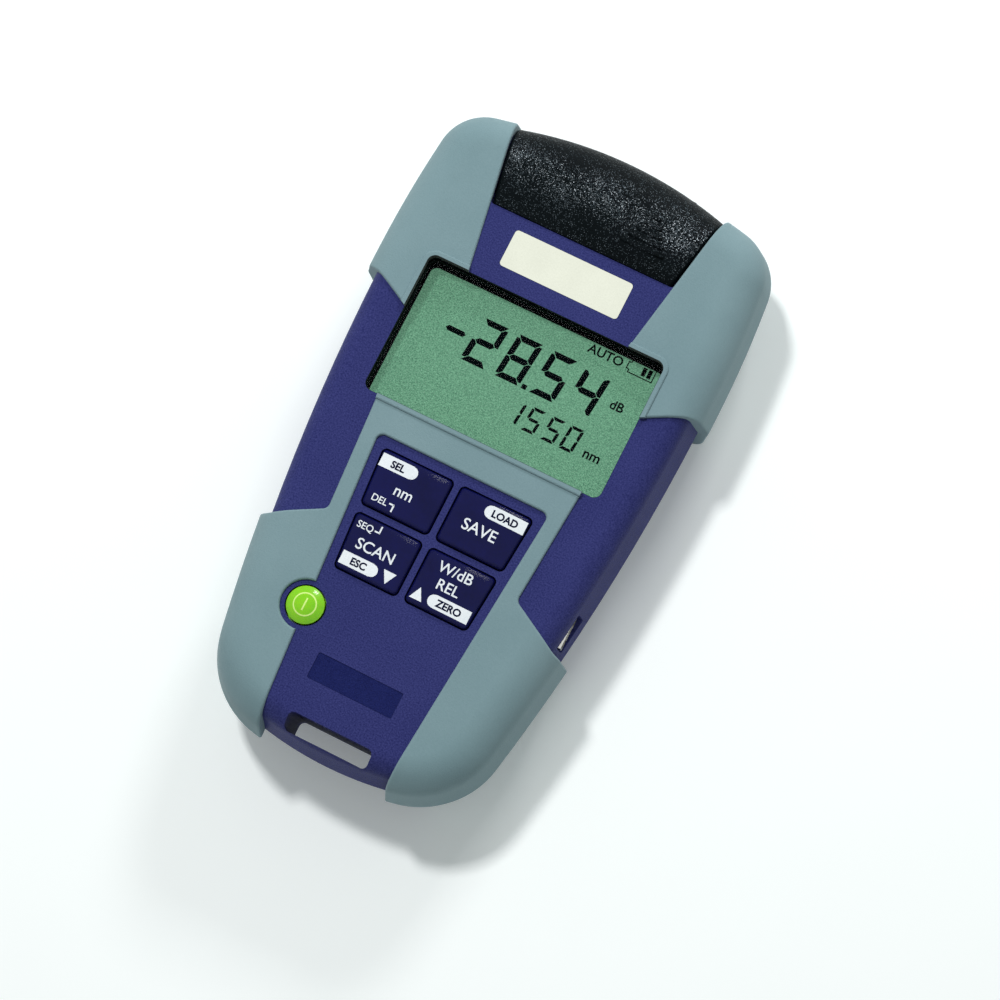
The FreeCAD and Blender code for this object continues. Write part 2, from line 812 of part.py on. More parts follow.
def optical_adapter():
    width, height, thickness = port_flange
    start = bay_start_y + ledge_depth
    flange = block(-width / 2, start, port_z - height / 2, width / 2, start + thickness, port_z + height / 2)
    flange = flange.makeFillet(1.4, [e for e in flange.Edges if abs(e.Length - thickness) < 1e-4])
    end = start + thickness + port_barrel_length
    barrel = cylinder_y(0, port_z, start, end, port_barrel_radius)
    barrel = barrel.makeChamfer(0.5, [e for e in barrel.Edges if e.BoundBox.YMin > end - 1e-4])
    collar = cylinder_y(0, port_z, start + thickness, start + thickness + 1.8, port_barrel_radius + 0.45)
    body = fused([flange, barrel, collar])
    cuts = [cylinder_y(0, port_z, start - 1, end + 1, ferrule_bore_radius + sleeve_wall)]
    for side in (-1, 1):
        x = side * port_screw_spacing / 2
        cuts.append(cylinder_y(x, port_z, start - 1, start + thickness + 1, 1.0 + screw_clearance / 2))
    for turn in (0, 1):
        groove = Part.makeTorus(port_barrel_radius, 0.35, V(0, end - 3.0 - 2.2 * turn, port_z), V(0, 1, 0))
        cuts.append(groove)
    return body.cut(cuts).removeSplitter()


def ferrule_sleeve():
    start = bay_start_y + ledge_depth + 1.0
    end = bay_start_y + ledge_depth + port_flange[2] + port_barrel_length
    tube = cylinder_y(0, port_z, start, end, ferrule_bore_radius + sleeve_wall - 0.005)
    return tube.cut(cylinder_y(0, port_z, start - 1, end + 1, ferrule_bore_radius))


def photodiode_housing():
    end = bay_start_y + ledge_depth
    seat = bay_start_y - shoulder_overlap
    can = cylinder_y(0, port_z, seat - detector_length, seat, detector_radius)
    can = can.makeFillet(0.6, [e for e in can.Edges if e.BoundBox.YMax < seat - detector_length + 1e-4])
    spigot = cylinder_y(0, port_z, seat - 1, end, detector_spigot_radius)
    window = cylinder_y(0, port_z, end - 0.8, end + 1, ferrule_bore_radius)
    return can.fuse(spigot).cut(window).removeSplitter()


def cross_screw(head_radius, head_height, shank_radius, length):
    """Cross-recessed screw pointing up, its head's underside at the origin."""
    head = Part.makeCylinder(head_radius, head_height, V(0, 0, -head_height))
    head = head.makeChamfer(0.25 * head_height, [e for e in head.Edges if e.BoundBox.ZMax < -head_height + 1e-4])
    shank = Part.makeCylinder(shank_radius, length)
    tip = Part.makeCone(shank_radius, 0.4 * shank_radius, 0.8 * shank_radius, V(0, 0, length))
    arm = 0.75 * head_radius
    width = 0.22 * head_radius
    depth = 0.5 * head_height
    slot = block(-arm, -width, -head_height - 1, arm, width, -head_height + depth)
    cross = block(-width, -arm, -head_height - 1, width, arm, -head_height + depth)
    return fused([head, shank, tip]).cut(slot).cut(cross)


def adapter_screws():
    screws = []
    for side in (-1, 1):
        radius, height = port_screw_head
        screw = cross_screw(radius, height, small_shank_radius, port_screw_length)
        screw.rotate(V(0, 0, 0), V(1, 0, 0), 90)
        screw.translate(V(side * port_screw_spacing / 2, bay_start_y + ledge_depth + port_flange[2], port_z))
        screws.append(screw)
    return Part.makeCompound(screws)


# ---- keys and switches ---------------------------------------------------

def key_cap(plan):
    """Key with a crowned top and the flange that keeps it in the face."""
    top_z = face_z + key_rise
    cap = prism(polygon(plan, key_corner_radius, 0), flange_low_z, top_z)
    x, y = centre_of(plan)
    crown = cylinder_y(x, top_z - key_crown_radius, y - key_height_upper, y + key_height_upper,
                       key_crown_radius)
    cap = cap.common(crown)
    crest = [e for e in cap.Edges if e.BoundBox.ZMin > face_z + 1e-3]
    cap = cap.makeFillet(key_edge_radius, crest)
    flange = prism(polygon(grown(plan, flange_width), key_corner_radius, 0), flange_low_z, flange_top_z)
    stem = cylinder_z(x, y, stem_low_z, flange_low_z, plunger_radius + 0.8)
    return fused([cap, flange, stem])


def power_button():
    dome_base = face_z + 0.25
    radius = (power_radius ** 2 + power_dome ** 2) / (2 * power_dome)
    body = cylinder_z(power_x, power_y, flange_low_z, dome_base + power_dome, power_radius)
    ball = Part.makeSphere(radius, V(power_x, power_y, dome_base + power_dome - radius))
    body = body.common(ball.fuse(cylinder_z(power_x, power_y, 0, dome_base, radius)))
    flange = cylinder_z(power_x, power_y, flange_low_z, flange_top_z, power_radius + flange_width)
    stem = cylinder_z(power_x, power_y, stem_low_z, flange_low_z, plunger_radius + 0.8)
    return fused([body, flange, stem])


def button_places():
    places = {key_names[spot]: centre_of(plan) for spot, plan in key_plans().items()}
    places["power"] = (power_x, power_y)
    return places


def plunger(x, y):
    low = switch_top_z - key_travel - plunger_depth
    return cylinder_z(x, y, low, stem_low_z, plunger_radius)


def switch_bodies():
    """One square switch under each button, with a well for its plunger."""
    bodies = []
    half = switch_size / 2
    for x, y in button_places().values():
        body = block(x - half, y - half, board_top_z, x + half, y + half, switch_top_z)
        body = body.makeChamfer(0.5, [e for e in body.Edges if abs(e.Length - switch_height) < 1e-4])
        low = switch_top_z - 2 * key_travel - plunger_depth
        bodies.append(body.cut(cylinder_z(x, y, low, switch_top_z + 1, plunger_radius + plunger_gap)))
    return Part.makeCompound(bodies)


# ---- display, board and socket -------------------------------------------

def display_window():
    top = face_z - display_edge_wall - window_gap
    return prism(display_plan(window_overlap), top - window_thickness, top)


def display_bezel():
    top = face_z - display_edge_wall - 2 * window_gap - window_thickness
    low = face_z - lcd_depth
    ring = prism(display_plan(bezel_width), low, top)
    return ring.cut(prism(display_plan(0, bezel_top_mask), low - 1, top + 1))


def lcd_module():
    top = face_z - lcd_depth
    plate = prism(display_plan(lcd_margin), board_top_z, top)
    return plate.makeChamfer(0.3, [e for e in plate.Edges if e.BoundBox.ZMin > top - 1e-4])


def main_board():
    plan = prism(outline(-side_wall - board_side_gap, 0), board_low_z, board_top_z)
    plan = plan.common(block(-60, board_bottom_y, board_low_z - 1, 60, board_top_y, board_top_z + 1))
    cuts = [cylinder_z(x, y, board_low_z - 1, board_top_z + 1, boss_radius + 0.6)
            for x, y in boss_places([upper_boss, lower_boss])]
    cuts += [cylinder_z(x, y, board_low_z - 1, board_top_z + 1, 1.0 + screw_clearance)
             for x, y in boss_places([upper_pillar, lower_pillar])]
    return plan.cut(cuts)


def usb_socket():
    """Folded metal shell with a plastic tongue, open to the side."""
    z = usb_centre_z()
    mouth = side_at(usb_y, z) - usb_recess
    half_y = usb_length / 2
    shell = block(mouth - usb_depth, usb_y - half_y, board_top_z, mouth, usb_y + half_y, board_top_z + usb_height)
    shell = shell.makeChamfer(0.9, [e for e in shell.Edges
                                    if abs(e.Length - usb_depth) < 1e-4 and e.BoundBox.ZMax < z])
    inner = block(mouth - usb_depth + usb_wall, usb_y - half_y + usb_wall, board_top_z + usb_wall,
                  mouth + 1, usb_y + half_y - usb_wall, board_top_z + usb_height - usb_wall)
    inner = inner.makeChamfer(0.8, [e for e in inner.Edges
                                    if e.BoundBox.XLength > usb_depth - 1 and e.BoundBox.ZMax < z])
    tongue = block(mouth - usb_depth + usb_wall / 2, usb_y - half_y / 2, z - 0.3,
                   mouth - 1.5, usb_y + half_y / 2, z + 0.8)
    return shell.cut(inner).fuse(tongue)


def board_chips():
    """Three packages on the underside of the board, beside the battery well."""
    chips = []
    for x, y, w, d, h in chip_table:
        chips.append(block(x - w / 2, y - d / 2, board_low_z - h, x + w / 2, y + d / 2, board_low_z))
    return Part.makeCompound(chips)


# ---- batteries -----------------------------------------------------------

def battery_cell(side):
    """Round cell along Y; the two cells point opposite ways."""
    middle = (well_top_y + well_low_y()) / 2
    length = cell_length + nub_length
    profile = [(0, 0), (cell_radius - 0.8, 0), (cell_radius, 0.8), (cell_radius, cell_length - 0.8),
               (cell_radius - 0.8, cell_length), (nub_radius, cell_length), (nub_radius, length), (0, length)]
    points = [V(r, y - length / 2, 0) for r, y in profile]
    cell = Part.Face(Part.makePolygon(points + [points[0]])).revolve(V(0, 0, 0), V(0, 1, 0), 360)
    if side < 0:
        cell.rotate(V(0, 0, 0), V(0, 0, 1), 180)
    cell.translate(V(side * cell_spread, middle, cell_z()))
    return cell


def cell_contacts():
    """A flat contact and a bowed leaf spring for each cell, on the end walls of the well."""
    middle = (well_top_y + well_low_y()) / 2
    reach = (cell_length + nub_length) / 2
    z0 = cell_z() - contact_width / 2
    z1 = cell_z() + contact_width / 2
    pieces = []
    for side in (-1, 1):
        x0 = side * cell_spread - contact_width / 2
        x1 = x0 + contact_width
        for end in (-1, 1):
            wall_y = well_top_y if end > 0 else well_low_y()
            touch_y = middle + end * reach
            if end == side:
                foot = wall_y - end * contact_thickness
                pieces.append(block(x0, min(wall_y, foot), z0, x1, max(wall_y, foot), z1))
                pad = Part.makeCylinder(nub_radius, abs(foot - touch_y),
                                        V(side * cell_spread, foot, cell_z()), V(0, -end, 0))
                pieces[-1] = pieces[-1].fuse(pad)
            else:
                pieces.append(leaf_spring(side * cell_spread, wall_y, touch_y, z0, z1, end))
    return Part.makeCompound(pieces)


def leaf_spring(x, wall_y, touch_y, z0, z1, end):
    """Strip fixed flat on the wall, bowed out to the cell as an arc."""
    half = contact_width / 2

    def strip(lift):
        return Part.Arc(V(x - half + lift, wall_y, z0), V(x, touch_y + end * lift, z0),
                        V(x + half - lift, wall_y, z0)).toShape()

    outer = strip(0)
    inner = strip(contact_thickness)
    feet = [Part.LineSegment(outer.Vertexes[0].Point, inner.Vertexes[0].Point).toShape(),
            Part.LineSegment(outer.Vertexes[-1].Point, inner.Vertexes[-1].Point).toShape()]
    face = Part.Face(Part.Wire(Part.__sortEdges__([outer, inner] + feet)))
    return face.extrude(V(0, 0, z1 - z0))


def battery_door():
    low = scoop_start_y + door_end_gap
    plate = block(-door_half_width, low, foot_height, door_half_width, door_top_y, foot_height + door_thickness)
    wide = door_half_width + tongue_width
    top = foot_height + door_thickness
    tongue = block(-wide, low, top - tongue_thickness, wide, door_top_y, top)
    door = plate.fuse(tongue)
    grooves = []
    for i in range(thumb_groove_count):
        y = low + thumb_groove_pitch * (i + 2)
        z = foot_height + thumb_groove_depth - thumb_groove_radius
        grooves.append(cylinder_x(y, z, -thumb_groove_half_width, thumb_groove_half_width, thumb_groove_radius))
    return door.cut(grooves).removeSplitter()


# ---- fasteners -----------------------------------------------------------

def shell_screw_tip_z():
    return foot_height + shell_screw_sink + shell_screw_length


def shell_screws():
    screws = []
    for x, y in boss_places([upper_boss, lower_boss]):
        radius, height = shell_screw_head
        screw = cross_screw(radius, height, boss_hole_radius - 0.02, shell_screw_length - 1.0)
        screw.translate(V(x, y, foot_height + shell_screw_sink))
        screws.append(screw)
    return Part.makeCompound(screws)


def board_screws():
    screws = []
    for x, y in boss_places([upper_pillar, lower_pillar]):
        radius, height = board_screw_head
        screw = cross_screw(radius, height, small_shank_radius, board_screw_length)
        screw.translate(V(x, y, board_low_z))
        screws.append(screw)
    return Part.makeCompound(screws)


def build():
    parts = {}
    left, right, lower = front_bumpers()
    parts["bumper_top_left"], parts["bumper_top_right"], parts["bumper_lower"] = left, right, lower
    rear = rear_bumpers()
    for name, shape in zip(("top_left", "top_right", "bottom_left", "bottom_right"), rear):
        parts["rear_bumper_" + name] = shape
    parts["front_shell"] = front_shell([left, right, lower])
    parts["rear_shell"] = rear_shell(rear)
    parts["end_cover"] = end_cover()
    parts["cover_hinge_pin"] = cover_hinge_pin()
    parts["name_plate"] = prism(plate_outline(0), face_z - plate_thickness, face_z + 0.05)
    parts["label_inlay"] = prism(inlay_outline(0), face_z - inlay_thickness - inlay_sink, face_z - inlay_sink)
    parts["display_window"] = display_window()
    parts["display_bezel"] = display_bezel()
    parts["lcd_module"] = lcd_module()
    parts["main_board"] = main_board()
    parts["board_chips"] = board_chips()
    for spot, plan in key_plans().items():
        parts["key_" + key_names[spot]] = key_cap(plan)
    parts["power_button"] = power_button()
    for name, (x, y) in button_places().items():
        parts["plunger_" + name] = plunger(x, y)
    parts["switch_bodies"] = switch_bodies()
    parts["optical_adapter"] = optical_adapter()
    parts["ferrule_sleeve"] = ferrule_sleeve()
    parts["photodiode_housing"] = photodiode_housing()
    parts["adapter_screws"] = adapter_screws()
    parts["usb_socket"] = usb_socket()
    parts["battery_cell_a"] = battery_cell(-1)
    parts["battery_cell_b"] = battery_cell(1)
    parts["cell_contacts"] = cell_contacts()
    parts["battery_door"] = battery_door()
    parts["shell_screws"] = shell_screws()
    parts["board_screws"] = board_screws()
    return parts


parts = build()

# The origin goes under the middle of the overall length, on the table.
low_end_y = parts["bumper_lower"].optimalBoundingBox(False).YMin
length_shift = V(0, -(hinge_y + hinge_barrel_radius + low_end_y) / 2, 0)

os.makedirs("parts", exist_ok=True)
for node, shape in parts.items():
    shape.translate(length_shift)
    shape.exportStep(os.path.join("parts", node + ".step"))
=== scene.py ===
import math

import bmesh
import bpy
import numpy as np
from mathutils import Matrix, Vector


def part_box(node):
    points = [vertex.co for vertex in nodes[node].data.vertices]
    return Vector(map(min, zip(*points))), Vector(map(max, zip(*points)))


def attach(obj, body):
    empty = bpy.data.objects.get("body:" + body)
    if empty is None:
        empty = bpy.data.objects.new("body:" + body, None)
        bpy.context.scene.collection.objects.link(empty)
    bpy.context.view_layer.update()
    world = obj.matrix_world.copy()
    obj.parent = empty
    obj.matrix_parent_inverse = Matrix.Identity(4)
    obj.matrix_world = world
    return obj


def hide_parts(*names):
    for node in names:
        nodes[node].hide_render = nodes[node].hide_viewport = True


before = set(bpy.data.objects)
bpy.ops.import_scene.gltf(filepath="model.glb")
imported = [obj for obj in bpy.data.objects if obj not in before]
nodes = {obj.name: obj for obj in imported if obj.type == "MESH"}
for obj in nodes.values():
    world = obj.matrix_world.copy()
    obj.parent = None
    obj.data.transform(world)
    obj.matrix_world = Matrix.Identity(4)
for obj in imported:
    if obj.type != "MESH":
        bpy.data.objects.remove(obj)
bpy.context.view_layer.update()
mm = 0.001


def boxOf(node):
    low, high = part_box(node)
    return np.array(low), np.array(high)


def centreOf(node):
    low, high = boxOf(node)
    return (low + high) / 2


def pointsOf(mesh):
    # the vertices of a mesh as an (n, 3) array
    flat = np.zeros(len(mesh.vertices) * 3)
    mesh.vertices.foreach_get("co", flat)
    return flat.reshape(-1, 3)


def addObject(name, data):
    made = bpy.data.objects.new(name, data)
    bpy.context.scene.collection.objects.link(made)
    return made


def srgb(r, g, b):
    # display values 0..255 to linear, with alpha
    def linear(v):
        v = v / 255
        return v / 12.92 if v <= 0.04045 else ((v + 0.055) / 1.055) ** 2.4
    return (linear(r), linear(g), linear(b), 1.0)


def newTree(holder):
    # the empty node tree of a material or a world
    holder.use_nodes = True
    holder.node_tree.nodes.clear()
    return holder.node_tree


def closeTree(tree, shader, kind="ShaderNodeOutputMaterial"):
    output = addNode(tree, kind)
    tree.links.new(shader.outputs[0], output.inputs["Surface"])


def addNode(tree, kind, **settings):
    node = tree.nodes.new(kind)
    for key, value in settings.items():
        setattr(node, key, value)
    return node


def setInputs(node, values):
    for key, value in values.items():
        node.inputs[key].default_value = value


def groupOf(name, inputs, outputs):
    # an empty node group with named sockets; inputs are (name, type, value)
    group = bpy.data.node_groups.new(name, "ShaderNodeTree")
    for label, kind, value in inputs:
        socket = group.interface.new_socket(label, in_out="INPUT", socket_type=kind)
        if value is not None:
            socket.default_value = value
    for label, kind in outputs:
        group.interface.new_socket(label, in_out="OUTPUT", socket_type=kind)
    return group, group.nodes.new("NodeGroupInput"), group.nodes.new("NodeGroupOutput")


def feed(tree, value, socket):
    # a number or a tuple is set on the socket, an output is linked to it
    if isinstance(value, (int, float, tuple)):
        socket.default_value = value
    elif value is not None:
        tree.links.new(value, socket)


def maths(tree, operation, a, b=None):
    node = addNode(tree, "ShaderNodeMath", operation=operation)
    feed(tree, a, node.inputs[0])
    feed(tree, b, node.inputs[1])
    return node.outputs[0]


def vectorMaths(tree, operation, a, b=None):
    node = addNode(tree, "ShaderNodeVectorMath", operation=operation)
    feed(tree, a, node.inputs[0])
    feed(tree, b, node.inputs[1])
    return node


def noise(tree, scale, detail=2.0, rough=0.5):
    # noise on object coordinates; scale is a number per metre or a socket
    coords = addNode(tree, "ShaderNodeTexCoord")
    node = addNode(tree, "ShaderNodeTexNoise")
    tree.links.new(coords.outputs["Object"], node.inputs["Vector"])
    feed(tree, scale, node.inputs["Scale"])
    setInputs(node, {"Detail": detail, "Roughness": rough})
    return node.outputs["Fac"]


noiseBand = (0.3, 0.7)  # where a noise has nearly all its values


def spreadOf(tree, fac, low, high):
    # stretches a narrow band of values to 0..1
    node = addNode(tree, "ShaderNodeMapRange")
    tree.links.new(fac, node.inputs["Value"])
    setInputs(node, {"From Min": low, "From Max": high})
    return node.outputs["Result"]


def mixColour(tree, fac, a, b):
    node = addNode(tree, "ShaderNodeMix", data_type="RGBA")
    for value, socket in ((fac, node.inputs[0]), (a, node.inputs[6]), (b, node.inputs[7])):
        feed(tree, value, socket)
    return node.outputs[2]


def buildGrain():
    # moulded grain: fine noise for the bump and the gloss, slow noise for the shade
    group, source, sink = groupOf(
        "mouldedGrain",
        [("Dark", "NodeSocketColor", None), ("Light", "NodeSocketColor", None),
         ("Grain Scale", "NodeSocketFloat", 2500.0), ("Cloud Scale", "NodeSocketFloat", 60.0),
         ("Speckle", "NodeSocketFloat", 0.3), ("Roughness", "NodeSocketFloat", 0.5),
         ("Gloss Spread", "NodeSocketFloat", 0.1), ("Depth", "NodeSocketFloat", 0.00003)],
        [("Colour", "NodeSocketColor"), ("Roughness", "NodeSocketFloat"),
         ("Normal", "NodeSocketVector")])
    fine = spreadOf(group, noise(group, source.outputs["Grain Scale"], 3.0, 0.6), *noiseBand)
    cloud = spreadOf(group, noise(group, source.outputs["Cloud Scale"], 3.0), *noiseBand)
    speckled = maths(group, "MULTIPLY", fine, source.outputs["Speckle"])
    rest = maths(group, "SUBTRACT", 1.0, source.outputs["Speckle"])
    plain = maths(group, "MULTIPLY", cloud, rest)
    shade = maths(group, "ADD", speckled, plain)
    group.links.new(mixColour(group, shade, source.outputs["Dark"], source.outputs["Light"]),
                    sink.inputs["Colour"])
    either = maths(group, "SUBTRACT", fine, 0.5)
    swing = maths(group, "MULTIPLY", either, source.outputs["Gloss Spread"])
    group.links.new(maths(group, "ADD", source.outputs["Roughness"], swing),
                    sink.inputs["Roughness"])
    bump = addNode(group, "ShaderNodeBump")
    group.links.new(source.outputs["Depth"], bump.inputs["Distance"])
    group.links.new(fine, bump.inputs["Height"])
    group.links.new(bump.outputs["Normal"], sink.inputs["Normal"])
    return group


# painted glint: the higher rareGlint, the fewer flakes get it
rareGlint = 5.0  # the higher, the fewer flakes are bright


def buildFlakes():
    # bright flakes: a few random cells, each with a facet of its own; Glint picks the few that get
    # a painted glint
    group, source, sink = groupOf(
        "brightFlakes",
        [("Cell Scale", "NodeSocketFloat", 2500.0), ("Share", "NodeSocketFloat", 0.1),
         ("Tilt", "NodeSocketFloat", 0.5)],
        [("Mask", "NodeSocketFloat"), ("Glint", "NodeSocketFloat"), ("Normal", "NodeSocketVector")])
    coords = addNode(group, "ShaderNodeTexCoord")
    cells = addNode(group, "ShaderNodeTexVoronoi")
    group.links.new(coords.outputs["Object"], cells.inputs["Vector"])
    group.links.new(source.outputs["Cell Scale"], cells.inputs["Scale"])
    parts = addNode(group, "ShaderNodeSeparateColor")
    group.links.new(cells.outputs["Color"], parts.inputs["Color"])
    chosen = maths(group, "LESS_THAN", parts.outputs["Red"], source.outputs["Share"])
    group.links.new(chosen, sink.inputs["Mask"])
    group.links.new(maths(group, "POWER", parts.outputs["Green"], rareGlint), sink.inputs["Glint"])
    turned = vectorMaths(group, "SUBTRACT", cells.outputs["Color"], (0.5, 0.5, 0.5))
    scaled = vectorMaths(group, "SCALE", turned.outputs[0])
    group.links.new(source.outputs["Tilt"], scaled.inputs["Scale"])
    facing = addNode(group, "ShaderNodeNewGeometry")
    total = vectorMaths(group, "ADD", facing.outputs["Normal"], scaled.outputs[0])
    unit = vectorMaths(group, "NORMALIZE", total.outputs[0])
    group.links.new(unit.outputs[0], sink.inputs["Normal"])
    return group


def buildLinerShade():
    # mask of the walls of a round-cornered opening: distance to its plan outline under a limit
    group, source, sink = groupOf(
        "openingLinerShade",
        [("Centre", "NodeSocketVector", None), ("Core", "NodeSocketVector", None),
         ("Corner", "NodeSocketFloat", 0.0018), ("Reach", "NodeSocketFloat", 0.00006)],
        [("Mask", "NodeSocketFloat")])
    coords = addNode(group, "ShaderNodeTexCoord")
    shifted = vectorMaths(group, "SUBTRACT", coords.outputs["Object"], source.outputs["Centre"])
    flat = vectorMaths(group, "MULTIPLY", shifted.outputs[0], (1.0, 1.0, 0.0))
    folded = vectorMaths(group, "ABSOLUTE", flat.outputs[0])
    past = vectorMaths(group, "SUBTRACT", folded.outputs[0], source.outputs["Core"])
    outside = vectorMaths(group, "MAXIMUM", past.outputs[0])
    span = vectorMaths(group, "LENGTH", outside.outputs[0])
    limit = maths(group, "ADD", source.outputs["Corner"], source.outputs["Reach"])
    group.links.new(maths(group, "LESS_THAN", span.outputs["Value"], limit), sink.inputs["Mask"])
    return group


grainGroup = buildGrain()
flakeGroup = buildFlakes()
linerShadeGroup = buildLinerShade()

# the opening over the display: the window's box less its hidden rim
opening = {"rim": 2.4 * mm, "corner": 1.8 * mm, "reach": 0.06 * mm,
           "black": (0.004, 0.005, 0.006, 1.0), "linedShaded": ("bumperGrey", "caseBlue")}


def linerShadeMask(tree):
    # the walls round the display are black, on the case and on the rubber alike: partly their own
    # black, partly painted shade inside the recess
    low, high = boxOf("display_window")
    linerShade = addNode(tree, "ShaderNodeGroup", node_tree=linerShadeGroup)
    core = (high - low) / 2 - opening["rim"] - opening["corner"]
    core[2] = 1.0  # height plays no part
    setInputs(linerShade, {"Centre": tuple((low + high) / 2), "Core": tuple(core),
                      "Corner": opening["corner"], "Reach": opening["reach"]})
    return linerShade.outputs["Mask"]


edgeSamples = 8  # rays that feel for edges and nooks


def setGrain(grain, look):
    setInputs(grain, {"Dark": look["dark"], "Light": look["light"], "Grain Scale": look["grain"],
                      "Cloud Scale": look["cloud"], "Speckle": look["speckle"],
                      "Roughness": look["rough"], "Gloss Spread": look["spread"],
                      "Depth": look["depth"] * mm})


def grained(name, look):
    # Principled material whose colour, gloss and bump come from the grain group
    material = bpy.data.materials.new(name)
    tree = newTree(material)
    grain = addNode(tree, "ShaderNodeGroup", node_tree=grainGroup)
    setGrain(grain, look)
    body = addNode(tree, "ShaderNodeBsdfPrincipled")
    setInputs(body, look.get("shader", {}))
    colour = grain.outputs["Colour"]
    # painted shade: the walls of the display opening turn black, partly their own black, partly the
    # shade inside the recess
    if name in opening["linedShaded"]:
        colour = mixColour(tree, linerShadeMask(tree), colour, opening["black"])
    tree.links.new(colour, body.inputs["Base Color"])
    # painted light: the display glows though it is no lamp, which lifts the shade its recess casts
    # on it
    if "glow" in look:
        tree.links.new(colour, body.inputs["Emission Color"])
        setInputs(body, {"Emission Strength": look["glow"]})
    tree.links.new(grain.outputs["Roughness"], body.inputs["Roughness"])
    tree.links.new(grain.outputs["Normal"], body.inputs["Normal"])
    if "softEdge" in look:
        # the coat runs round the edges more softly than the plastic under it
        rounded = addNode(tree, "ShaderNodeBevel", samples=edgeSamples)
        setInputs(rounded, {"Radius": look["softEdge"]})
        tree.links.new(rounded.outputs["Normal"], body.inputs["Coat Normal"])
    closeTree(tree, body)
    return material


# grain and cloud are scales per metre, depth is in millimetres
finishes = {
    "caseBlue": {"dark": srgb(31, 35, 86), "light": srgb(66, 70, 128), "grain": 3000, "cloud": 60,
                 "speckle": 0.85, "rough": 0.5, "spread": 0.16, "depth": 0.05,
                 "shader": {"Specular IOR Level": 0.05}},
    "bumperGrey": {"dark": srgb(115, 142, 148), "light": srgb(129, 155, 161), "grain": 3200,
                   "cloud": 50, "speckle": 0.45, "rough": 0.72, "spread": 0.1, "depth": 0.03,
                   "shader": {"Specular IOR Level": 0.25, "Sheen Weight": 0.08,
                              "Sheen Roughness": 0.6}},
    "keyNavy": {"dark": srgb(2, 5, 55), "light": srgb(8, 12, 73), "grain": 900, "cloud": 120,
                "speckle": 0.3, "rough": 0.42, "spread": 0.06, "depth": 0.004, "softEdge": 2.6 * mm,
                "shader": {"Specular IOR Level": 0.03, "Coat Weight": 0.26, "Coat Roughness": 0.1}},
    "buttonGreen": {"dark": srgb(122, 202, 0), "light": srgb(144, 215, 0), "grain": 1200,
                    "cloud": 150, "speckle": 0.3, "rough": 0.34, "spread": 0.06, "depth": 0.004,
                    "shader": {"Specular IOR Level": 0.2, "Coat Weight": 0.5,
                               "Coat Roughness": 0.12, "Subsurface Weight": 0.08,
                               "Subsurface Scale": 1.0 * mm}},
    "plateCream": {"dark": srgb(223, 225, 209), "light": srgb(236, 238, 222), "grain": 2600,
                   "cloud": 120, "speckle": 0.5, "rough": 0.4, "spread": 0.08, "depth": 0.008,
                   "shader": {"Coat Weight": 0.2, "Coat Roughness": 0.2}},
    "inlayBlue": {"dark": srgb(14, 20, 70), "light": srgb(34, 42, 100), "grain": 4200, "cloud": 300,
                  "speckle": 0.8, "rough": 0.45, "spread": 0.2, "depth": 0.07,
                  "shader": {"Specular IOR Level": 0.08}},
    "maskBlack": {"dark": srgb(10, 12, 14), "light": srgb(20, 22, 26), "grain": 3000, "cloud": 120,
                  "speckle": 0.5, "rough": 0.6, "spread": 0.1, "depth": 0.01,
                  "shader": {"Specular IOR Level": 0.03}},
    # the display's glow is painted light that lifts the shade of its recess
    "lcdGreen": {"dark": srgb(44, 76, 61), "light": srgb(92, 133, 108), "grain": 3500, "cloud": 14,
                 "speckle": 0.9, "rough": 0.5, "spread": 0.1, "depth": 0.0, "glow": 1.2,
                 "shader": {"Specular IOR Level": 0.0}},
    "segmentInk": {"dark": srgb(2, 6, 8), "light": srgb(6, 12, 14), "grain": 2600, "cloud": 200,
                   "speckle": 0.5, "rough": 0.5, "spread": 0.1, "depth": 0.0,
                   "shader": {"Specular IOR Level": 0.0}},
    "legendWhite": {"dark": srgb(222, 230, 236), "light": srgb(244, 248, 250), "grain": 3000,
                    "cloud": 200, "speckle": 0.6, "rough": 0.5, "spread": 0.1, "depth": 0.004},
    "legendInk": {"dark": srgb(6, 10, 40), "light": srgb(14, 20, 56), "grain": 3000, "cloud": 200,
                  "speckle": 0.6, "rough": 0.5, "spread": 0.1, "depth": 0.004,
                  "shader": {"Specular IOR Level": 0.0}},
    "ringPale": {"dark": srgb(204, 240, 120), "light": srgb(222, 250, 150), "grain": 2600,
                 "cloud": 200, "speckle": 0.6, "rough": 0.4, "spread": 0.1, "depth": 0.004},
    "boardGreen": {"dark": srgb(16, 62, 40), "light": srgb(26, 84, 52), "grain": 1500, "cloud": 200,
                   "speckle": 0.4, "rough": 0.4, "spread": 0.1, "depth": 0.01},
    "chipBlack": {"dark": srgb(20, 20, 22), "light": srgb(34, 34, 36), "grain": 3000, "cloud": 200,
                  "speckle": 0.6, "rough": 0.6, "spread": 0.1, "depth": 0.01},
    "stemWhite": {"dark": srgb(214, 212, 204), "light": srgb(230, 228, 220), "grain": 2000,
                  "cloud": 200, "speckle": 0.5, "rough": 0.5, "spread": 0.1, "depth": 0.005},
    "sleeveWhite": {"dark": srgb(226, 222, 212), "light": srgb(242, 240, 232), "grain": 1500,
                    "cloud": 200, "speckle": 0.4, "rough": 0.22, "spread": 0.05, "depth": 0.002},
    "cellSleeve": {"dark": srgb(44, 52, 60), "light": srgb(62, 70, 78), "grain": 900, "cloud": 90,
                   "speckle": 0.3, "rough": 0.3, "spread": 0.08, "depth": 0.005},
    "plainSteel": {"dark": srgb(150, 152, 156), "light": srgb(190, 192, 196), "grain": 1800,
                   "cloud": 200, "speckle": 0.5, "rough": 0.34, "spread": 0.14, "depth": 0.01,
                   "shader": {"Metallic": 1.0}},
    "paleNickel": {"dark": srgb(196, 196, 190), "light": srgb(226, 226, 220), "grain": 1400,
                   "cloud": 200, "speckle": 0.5, "rough": 0.26, "spread": 0.12, "depth": 0.008,
                   "shader": {"Metallic": 1.0}},
}
materials = {name: grained(name, look) for name, look in finishes.items()}
